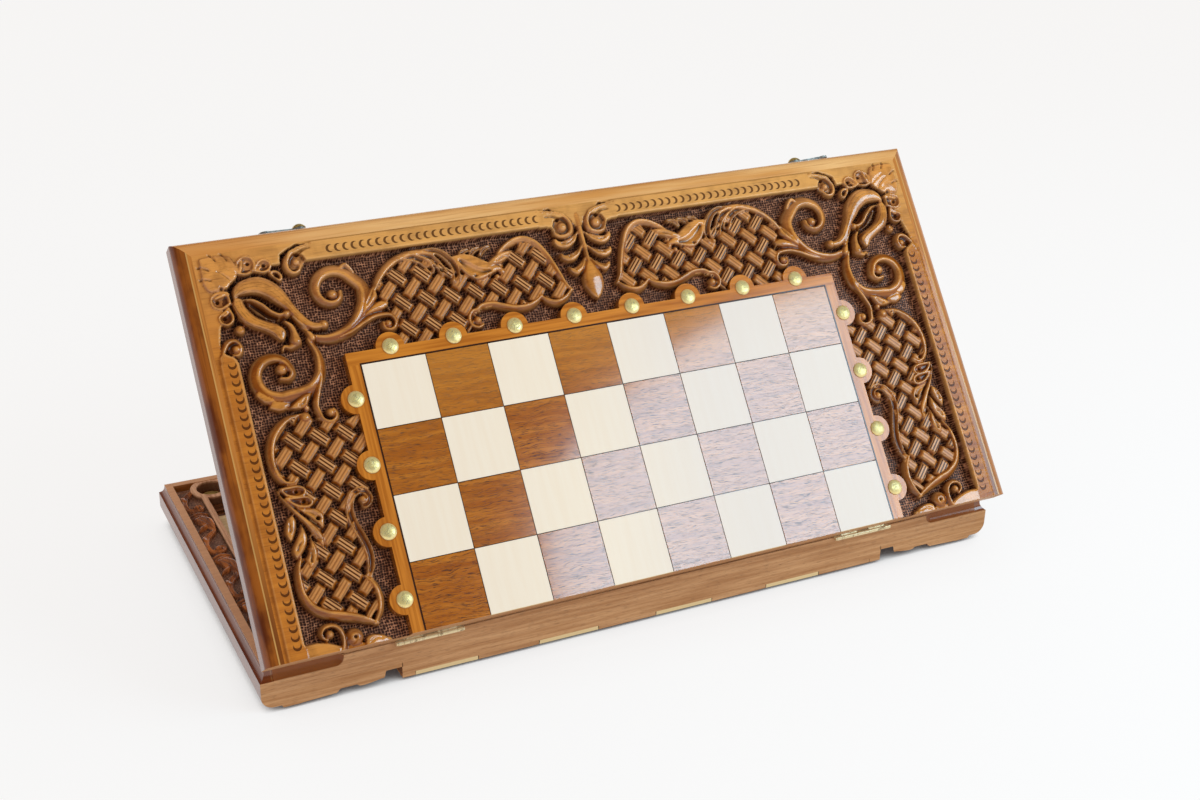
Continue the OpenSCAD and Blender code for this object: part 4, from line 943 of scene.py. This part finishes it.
def pale_square_finish(half):
    bench, x, s, d = half_bench("pale_square", half)
    own = own_number(bench, x, s)
    figure = bench.grain(s + own * 60, x + own * 31, d, 80.0, 5.0, 3.0)
    fleck = bench.grain(s + own * 60, x, d, 9.0, 0.7, 2.0, 6.1)
    wood = bench.mix(stain(250, 234, 212), stain(252, 238, 218), figure.beyond(0.3, 0.7))
    cut_end = 1 - s.beyond(0.1, 0.35)
    wood = wood.glazed(
        (234, 216, 188, fleck.beyond(0.55, 0.75) * 0.06),
        (240, 222, 196, own * 0.15),
        # painted reflection of the softbox: greyer toward the right
        (228, 222, 222, x.beyond(-70, 90) * 0.55),
        (70, 44, 28, (1 - d.beyond(HALF_THICK - 0.9, HALF_THICK - 0.2)) * (1 - cut_end)),
        (226, 196, 146, cut_end))
    rough = 0.16 + fleck * 0.05 + cut_end * 0.4
    return bench.finish(wood, rough, fleck * 0.02, Specular_IOR_Level=0.08)


for half in HALVES:
    wear(dark_square_finish(half), f"{half}_dark_squares")
    wear(pale_square_finish(half), f"{half}_light_squares")

# ---- Brass studs ----
# A domed brass nail stands on each boss, its head pressed from sheet on a steel nail. The base
# lies on its studs, so the crowns are rubbed and marked, and lacquer and tarnish sit round them.

STUD_R, STUD_H, NAIL_R, NAIL_LONG = 6.0, 2.5, 1.0, 7.0


def turned_profile(rings, steps=32):
    """Rings (r, z) round an axis as places and quads; an end is closed by a ring of almost no radius."""
    turns = [2 * math.pi * k / steps for k in range(steps)]
    spots = [(r * math.cos(a), r * math.sin(a), z) for r, z in rings for a in turns]
    faces = [(a * steps + k, a * steps + l, (a + 1) * steps + l, (a + 1) * steps + k)
             for a in range(len(rings) - 1) for k in range(steps) for l in [(k + 1) % steps]]
    return np.array(spots), np.array(faces)


def stud_finish(half):
    bench, x, s, d = half_bench("stud_brass", half)
    tarnish = bench.noise(bench.point(x * 0.5, s * 0.5, d * 0.5), 4.0)
    scratch = bench.grain(x + s, s - x, d, 5.0, 0.3, 3.0)
    crown = d.beyond(HALF_THICK + 1.8, HALF_THICK + 2.3)
    rim = 1 - d.beyond(HALF_THICK + 0.2, HALF_THICK + 0.9)
    colour = bench.mix(stain(246, 216, 128), stain(255, 242, 190), scratch.beyond(0.35, 0.7))
    colour = colour.glazed(
        (150, 112, 44, tarnish.beyond(0.52, 0.7) * 0.4),
        (90, 60, 24, crown * scratch.beyond(0.5, 0.6) * 0.6),
        (128, 88, 36, rim * 0.6))
    return bench.finish(colour, 0.22 + tarnish * 0.2, tarnish * 0.16 - scratch * crown * 0.12, Metallic=0.45)


dome = [(STUD_R * math.cos(a), STUD_H * math.sin(a)**0.9 if a else 0.0)
        for a in np.linspace(0, math.pi / 2, 12)[:-1]]
profile = [(NAIL_R, -NAIL_LONG), (NAIL_R, -0.2), (STUD_R - 0.3, -0.05)] + dome + [(0.02, STUD_H)]
stud_spots, stud_faces = turned_profile(profile)
stud_at = [((i - 3.5) * SQUARE, STRIP) for i in range(8)]
stud_at += [(side * STRIP, (j + 0.5) * SQUARE) for side in (-1, 1) for j in range(4)]
for half in HALVES:
    spots = np.vstack([stud_spots + (bx, bs, HALF_THICK) for bx, bs in stud_at])
    faces = np.vstack([stud_faces + n * len(stud_spots) for n in range(len(stud_at))])
    piece = make_piece(f"{half}_domed_studs", half, spots, faces, stud_finish(half))
    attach(piece, half)
    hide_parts(f"{half}_studs")

# ---- Playing side: carved end bands ----
# A narrow board is let in at each end of the playing side and carved with a running scroll of
# leaves over a punched ground. It is stained darker than the face, and has a thick lacquer.

INNER_X, FOLD_W = 290.3, 12.0
BAND_W, BAND_GROUND, RING_X, RING_S, RING_R = 16.6, 4.5, 262.9, 274.0, 16.3
BAND_S1 = RING_S - math.sqrt(RING_R**2 - (INNER_X - BAND_W - RING_X)**2)

running = Carving(-INNER_X, -INNER_X + BAND_W, FOLD_W, 284.0, 0.5)
mid = -INNER_X + BAND_W / 2


def by_curl(c, *places):
    """Places on a band, given from the middle of the curl that lies at c along it."""
    return [(mid + a, c + b) for a, b in places]


for n in range(5):
    c = 248.0 - 69.0 * n
    # the stem that comes up from the leaf below and ends in a curl round a berry
    stem = by_curl(c, (6.4, 34), (3.4, 26), (-3, 18), (-6.2, 8))
    running.stroke(stem + curl(mid + 1, c, 7.0, 2.4, 180, 480, 9),
                   [2.2, 3.2, 4, 4.4, 4.4, 4.4, 4.2, 4, 3.8, 3.6, 3.4, 3, 2.6, 2.2],
                   [2.8, 3.4, 4, 4.2, 4.2, 4.2, 4.2, 4, 4, 3.8, 3.6, 3.4, 3.2], channel)
    running.ball(mid + 1, c, 2.4, 4.4)
    # a pointed leaf over each curl, two folds under it, and a broad leaf that turns into the next
    # stem with a small leaf beside it
    running.lobe(by_curl(c, (-3, 11), (-7.4, 13), (-7.6, 19), (-4, 24)), by_curl(c, (-3.4, 15), (-4.6, 19)),
                 [3.4, 4, 3.8, 2.8], 0.5, lines=1)
    for low in (0, 4.4):
        running.lobe(by_curl(c, (-7.6, -12.5 - low), (-3, -9.4 - low), (3, -9.6 - low), (7.6, -13 - low)),
                     by_curl(c, (-3, -13.4 - low), (3, -14 - low)), [3.0, 3.8, 3.8, 3.0], 0.7)
    running.lobe(by_curl(c, (-6.4, -19), (-3.5, -26), (-0.5, -32), (5.4, -41)),
                 by_curl(c, (2, -17), (7, -22), (8, -30), (6.6, -41)),
                 [3.6, 4.2, 4.2, 3.2], 0.4, lines=3, apart=True)
    running.lobe(by_curl(c, (4, -29), (-1, -31), (-5, -34), (-7.6, -40)),
                 by_curl(c, (4, -34), (-0.5, -36), (-4.4, -38), (-7.6, -40)),
                 [4.0, 4.2, 3.8, 2.8], 0.5, lines=1, apart=True)
running.sand()


def band_finish(half):
    bench, x, s, d = half_bench("end_band", half)
    gouge, cut, punched, hollow = read_marks(bench, ("gouge", "cut", "punched", "hollow"))
    figure = bench.grain(s, x, d, 40.0, 4.0, 4.0)
    wood = bench.mix(stain(122, 66, 34), stain(214, 126, 56), figure.beyond(0.35, 0.7))
    groove = gouge_line(gouge, 0.06, 0.2) * cut
    # darker in the hollows: stain that pools there and painted shade
    wood = wood.glazed((48, 22, 12, hollow.beyond(0.1, 1.4) * 0.8), (48, 24, 14, groove * 0.8))
    ground, ridge = punched_ground(bench, x, s, stain(104, 64, 48), stain(204, 154, 126), 1.1)
    rough = 0.14 + figure * 0.08 + punched * 0.2
    return bench.lacquer(bench.mix(wood, ground, punched), rough, ridge * punched * 0.2 - groove * 0.2)


mid_x, mid_s = cell_middles(running)
kept = (mid_x + RING_X)**2 + (mid_s - RING_S)**2 > (RING_R - 0.5)**2
band_foot = [(-INNER_X, -INNER_X + BAND_W, FOLD_W, BAND_S1 - 8)]
for half in HALVES:
    walnut = band_finish(half)
    for side in ("left", "right"):
        piece = carved_piece(f"{half}_end_band_{side}", half, running, kept, lambda z: BAND_GROUND - z, 9.0,
                             band_foot, walnut, side == "right", 1.5)
        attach(piece, half)
        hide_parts(f"{half}_end_carvings")

# ---- Playing side: bars, rings, discs and points ----
# A flat bar parts each carved band from the floor and ends in a ring round a corner well with a
# brass disc in it. They are bare tan wood. Six veneered points stand at each end, pale and dark
# in turn, let in flush with the floor and lacquered over.


def bar_finish(half):
    bench, x, s, d = half_bench("bar_wood", half)
    figure = bench.grain(s, x, d, 70.0, 2.2, 4.0)
    pores = bench.grain(s, x, d, 6.0, 0.4, 2.0, 5.0).beyond(0.57, 0.68)
    wood = bench.mix(stain(196, 142, 108), stain(230, 182, 146), figure.beyond(0.3, 0.7))
    wood = wood.glazed((120, 76, 48, pores * 0.6), (96, 56, 32, d.beyond(0.9, 3.0) * 0.8))
    return bench.lacquer(wood, 0.42 + figure * 0.15, figure * 0.03 - pores * 0.05, 0.3, 1.5)


def point_finish(half, name, low, high, vein):
    bench, x, s, d = half_bench(name, half)
    figure = bench.grain(x, s, d, 90.0, 3.0, 4.0)
    streak = bench.grain(x, s, d, 34.0, 0.7, 3.0, 2.7)
    wood = bench.mix(stain(*low), stain(*high), figure.beyond(0.3, 0.7))
    wood = wood.glazed((*vein, streak.beyond(0.52, 0.72) * 0.5))
    return bench.lacquer(wood, 0.18 + streak * 0.1, streak * 0.03, 1.0, 1.6)


def disc_finish(half):
    bench, x, s, d = half_bench("disc_brass", half)
    r = ((abs(x) - RING_X)**2 + (s - RING_S)**2)**0.5
    turning = bench.noise(bench.point(r * 3.0, 0.0), 2.0)
    tarnish = bench.noise(bench.point(x * 0.3, s * 0.3), 4.0)
    ring = r.within(5.4, 6.2, 0.3)
    colour = bench.mix(stain(206, 172, 88), stain(236, 210, 138), turning)
    colour = colour.glazed((120, 88, 36, tarnish.beyond(0.5, 0.72) * 0.6), (110, 80, 34, ring * 0.6))
    return bench.finish(colour, 0.24 + tarnish * 0.22, turning * 0.04 - ring * 0.15, Metallic=0.6)


for half in HALVES:
    wear(bar_finish(half), f"{half}_bars")
    wear(disc_finish(half), f"{half}_well_discs")
    wear(point_finish(half, "pale_point", (216, 182, 132), (238, 212, 166), (186, 146, 96)),
         f"{half}_light_points")
    wear(point_finish(half, "dark_point", (64, 34, 20), (108, 62, 34), (38, 20, 12)), f"{half}_dark_points")

# ---- Hinges ----
# Two brass butt hinges are let into the rims along the fold. Their leaves are folded sheet, the
# odd knuckles and the pin belong to the base, and three countersunk screws hold each leaf.


def metal_bench(name):
    """A bench and the place in mm on a piece of metal."""
    bench = Bench(name)
    where = {0: bench.put("TexCoord", out=3), "Scale": 1000.0}
    return bench, *bench.parts(bench.put("VectorMath", {"operation": "SCALE"}, where))


def brass_finish(name, pale, deep, spots, size, metal):
    bench, x, y, z = metal_bench(name)
    tarnish = bench.noise(bench.point(x * size, y * size, z * size), 4.0)
    brushed = bench.grain(x, y, z, 14.0, 0.25, 2.0)
    colour = bench.mix(stain(*deep), stain(*pale), brushed.beyond(0.3, 0.7))
    colour = colour.glazed((*spots, tarnish.beyond(0.52, 0.68) * 0.75))
    return bench.finish(colour, 0.26 + tarnish * 0.24, brushed * 0.04 + tarnish * 0.08, Metallic=metal)


hinge_brass = brass_finish("hinge_brass", (244, 228, 190), (222, 196, 142), (122, 88, 50), 0.3, 0.55)
screw_brass = brass_finish("screw_brass", (232, 204, 128), (206, 170, 88), (110, 80, 36), 0.6, 0.6)
wear(hinge_brass, "base_hinge_leaves", "lid_hinge_leaves", "hinge_pins")
wear(screw_brass, "base_hinge_screws", "lid_hinge_screws")

# ---- Hooks and catch pegs ----
# A cast hook turns on a domed brass screw at each end of the lid's latch side, over a brass
# washer, and drops over a peg in the base. The hooks are cast iron, plated and worn grey.


def iron_finish():
    bench, x, y, z = metal_bench("hook_iron")
    cast = bench.noise(bench.point(x * 0.9, y * 0.9, z * 0.9), 5.0)
    worn = bench.noise(bench.point(x * 0.25, y * 0.25, z * 0.25), 3.0)
    colour = bench.mix(stain(128, 126, 122), stain(206, 204, 196), worn.beyond(0.3, 0.6))
    colour = colour.glazed((60, 56, 52, cast.beyond(0.55, 0.7) * 0.7))
    return bench.finish(colour, 0.3 + cast * 0.25, cast * 0.14, Metallic=0.7)


wear(iron_finish(), "left_hook", "right_hook")
wear(screw_brass, "hook_screws", "hook_washers", "catch_pegs")

# ---- Table, light and camera ----
# The board stands on a white studio table under a big softbox in front and to the right, whose
# reflection lies on the lacquer over the lower right squares.

camera_at = Vector((-0.52646, -1.10142, 0.69706))
camera_data = bpy.data.cameras.new("camera")
camera_data.lens, camera_data.sensor_width = 51.853, 36.0
camera_data.clip_start, camera_data.clip_end = 0.05, 50.0
camera = bpy.data.objects.new("camera", camera_data)
camera.matrix_world = Matrix(((0.90027, 0.17034, -0.40063, camera_at.x),
                              (-0.43492, 0.39225, -0.81054, camera_at.y),
                              (0.01908, 0.90395, 0.42721, camera_at.z), (0, 0, 0, 1)))
bpy.context.scene.collection.objects.link(camera)
bpy.context.scene.camera = camera


def seen_straight(bench):
    """1 for what the camera sees, straight or in a reflection or through glass, else 0."""
    camera_ray, glossy, through = [bench.put("LightPath", out=n) for n in (0, 3, 6)]
    return camera_ray.work("MAXIMUM", camera_ray.work("MAXIMUM", camera_ray, glossy), through)


WALL_LIGHT, CEILING_DIM = 0.70, 0.94
world = bpy.data.worlds.new("studio")
bpy.context.scene.world = world
sky = Bench(world)
# the studio's white wall ends above the table, and its ceiling is dark
high = sky.put("SeparateXYZ", None, {"Vector": sky.put("TexCoord", out=0)}, out=2)
direct = seen_straight(sky)
seen = 1 - high.beyond(0.04, 0.34) * CEILING_DIM
tint = sky.mix((1.0, 0.9, 0.81, 1), (1, 1, 1, 1), direct)
strength = WALL_LIGHT + direct * (seen - WALL_LIGHT)
sky.put("OutputWorld", None, {"Surface": sky.put("Background", None, {"Color": tint, "Strength": strength})})

bench = Bench("white_table")
haze = bench.noise(bench.put("TexCoord", out=3), 2.0)
paper = bench.mix((0.9, 0.9, 0.91, 1), (0.94, 0.94, 0.945, 1), haze)
lit = bench.put("BsdfDiffuse", None, {"Color": paper})
# painted shadow: the table's own glow fades to dark under and close beside the board, where it is hemmed in
open_air = bench.put("AmbientOcclusion", {"samples": 8}, {"Distance": 0.035}, out=1)
shade = bench.mix((0.03, 0.025, 0.025, 1), (1, 1, 1, 1), open_air.beyond(0.08, 0.6))
own_glow = bench.put("Emission", None, {"Color": shade, "Strength": 0.75 + seen_straight(bench) * 0.25})
bench.put("OutputMaterial", None, {"Surface": bench.put("MixShader", None, {0: 0.78, 1: lit, 2: own_glow})})
floor_mesh = bpy.data.meshes.new("table_top")
floor_mesh.from_pydata([(-8, -8, 0), (8, -8, 0), (8, 8, 0), (-8, 8, 0)], [], [(0, 1, 2, 3)])
floor_mesh.materials.append(bench.material)
floor = bpy.data.objects.new("table_top", floor_mesh)
bpy.context.scene.collection.objects.link(floor)

# the softbox stands where the lid mirrors it to the camera over these corners of the squares
SOFTBOX_FAR, SOFTBOX_POWER = 1.5, 5.2
lid_up = Vector((0, -math.sin(LEAN), math.cos(LEAN)))
glare = [(x, s, HALF_THICK) for x, s in ((-105, -140), (545, -140), (545, 172), (-105, 172))]
corners = [Vector(p) for p in on_half("lid", glare)]
rays = [(c - camera_at).normalized() for c in corners]
rays = [r - 2 * r.dot(lid_up) * lid_up for r in rays]
middle, aim = sum(corners, Vector()) / 4, sum(rays, Vector()).normalized()
box_at = middle + aim * SOFTBOX_FAR
across = (Vector((1, 0, 0)) - aim * aim.x).normalized()
upward = aim.cross(across)
reach = [c + r * ((box_at - c).dot(aim) / r.dot(aim)) - box_at for c, r in zip(corners, rays)]
wide, tall = [max(p.dot(way) for p in reach) - min(p.dot(way) for p in reach) for way in (across, upward)]
softbox = bpy.data.lights.new("softbox", "AREA")
softbox.shape, softbox.size, softbox.size_y = "ELLIPSE", wide, tall
softbox.color = (0.56, 0.82, 1.0)
softbox.energy = SOFTBOX_POWER * math.pi * wide * tall
lamp = bpy.data.objects.new("softbox", softbox)
lamp.matrix_world = Matrix.Translation(box_at) @ Matrix((across, upward, aim)).transposed().to_4x4()
bpy.context.scene.collection.objects.link(lamp)

bpy.context.scene.view_settings.view_transform = "Standard"
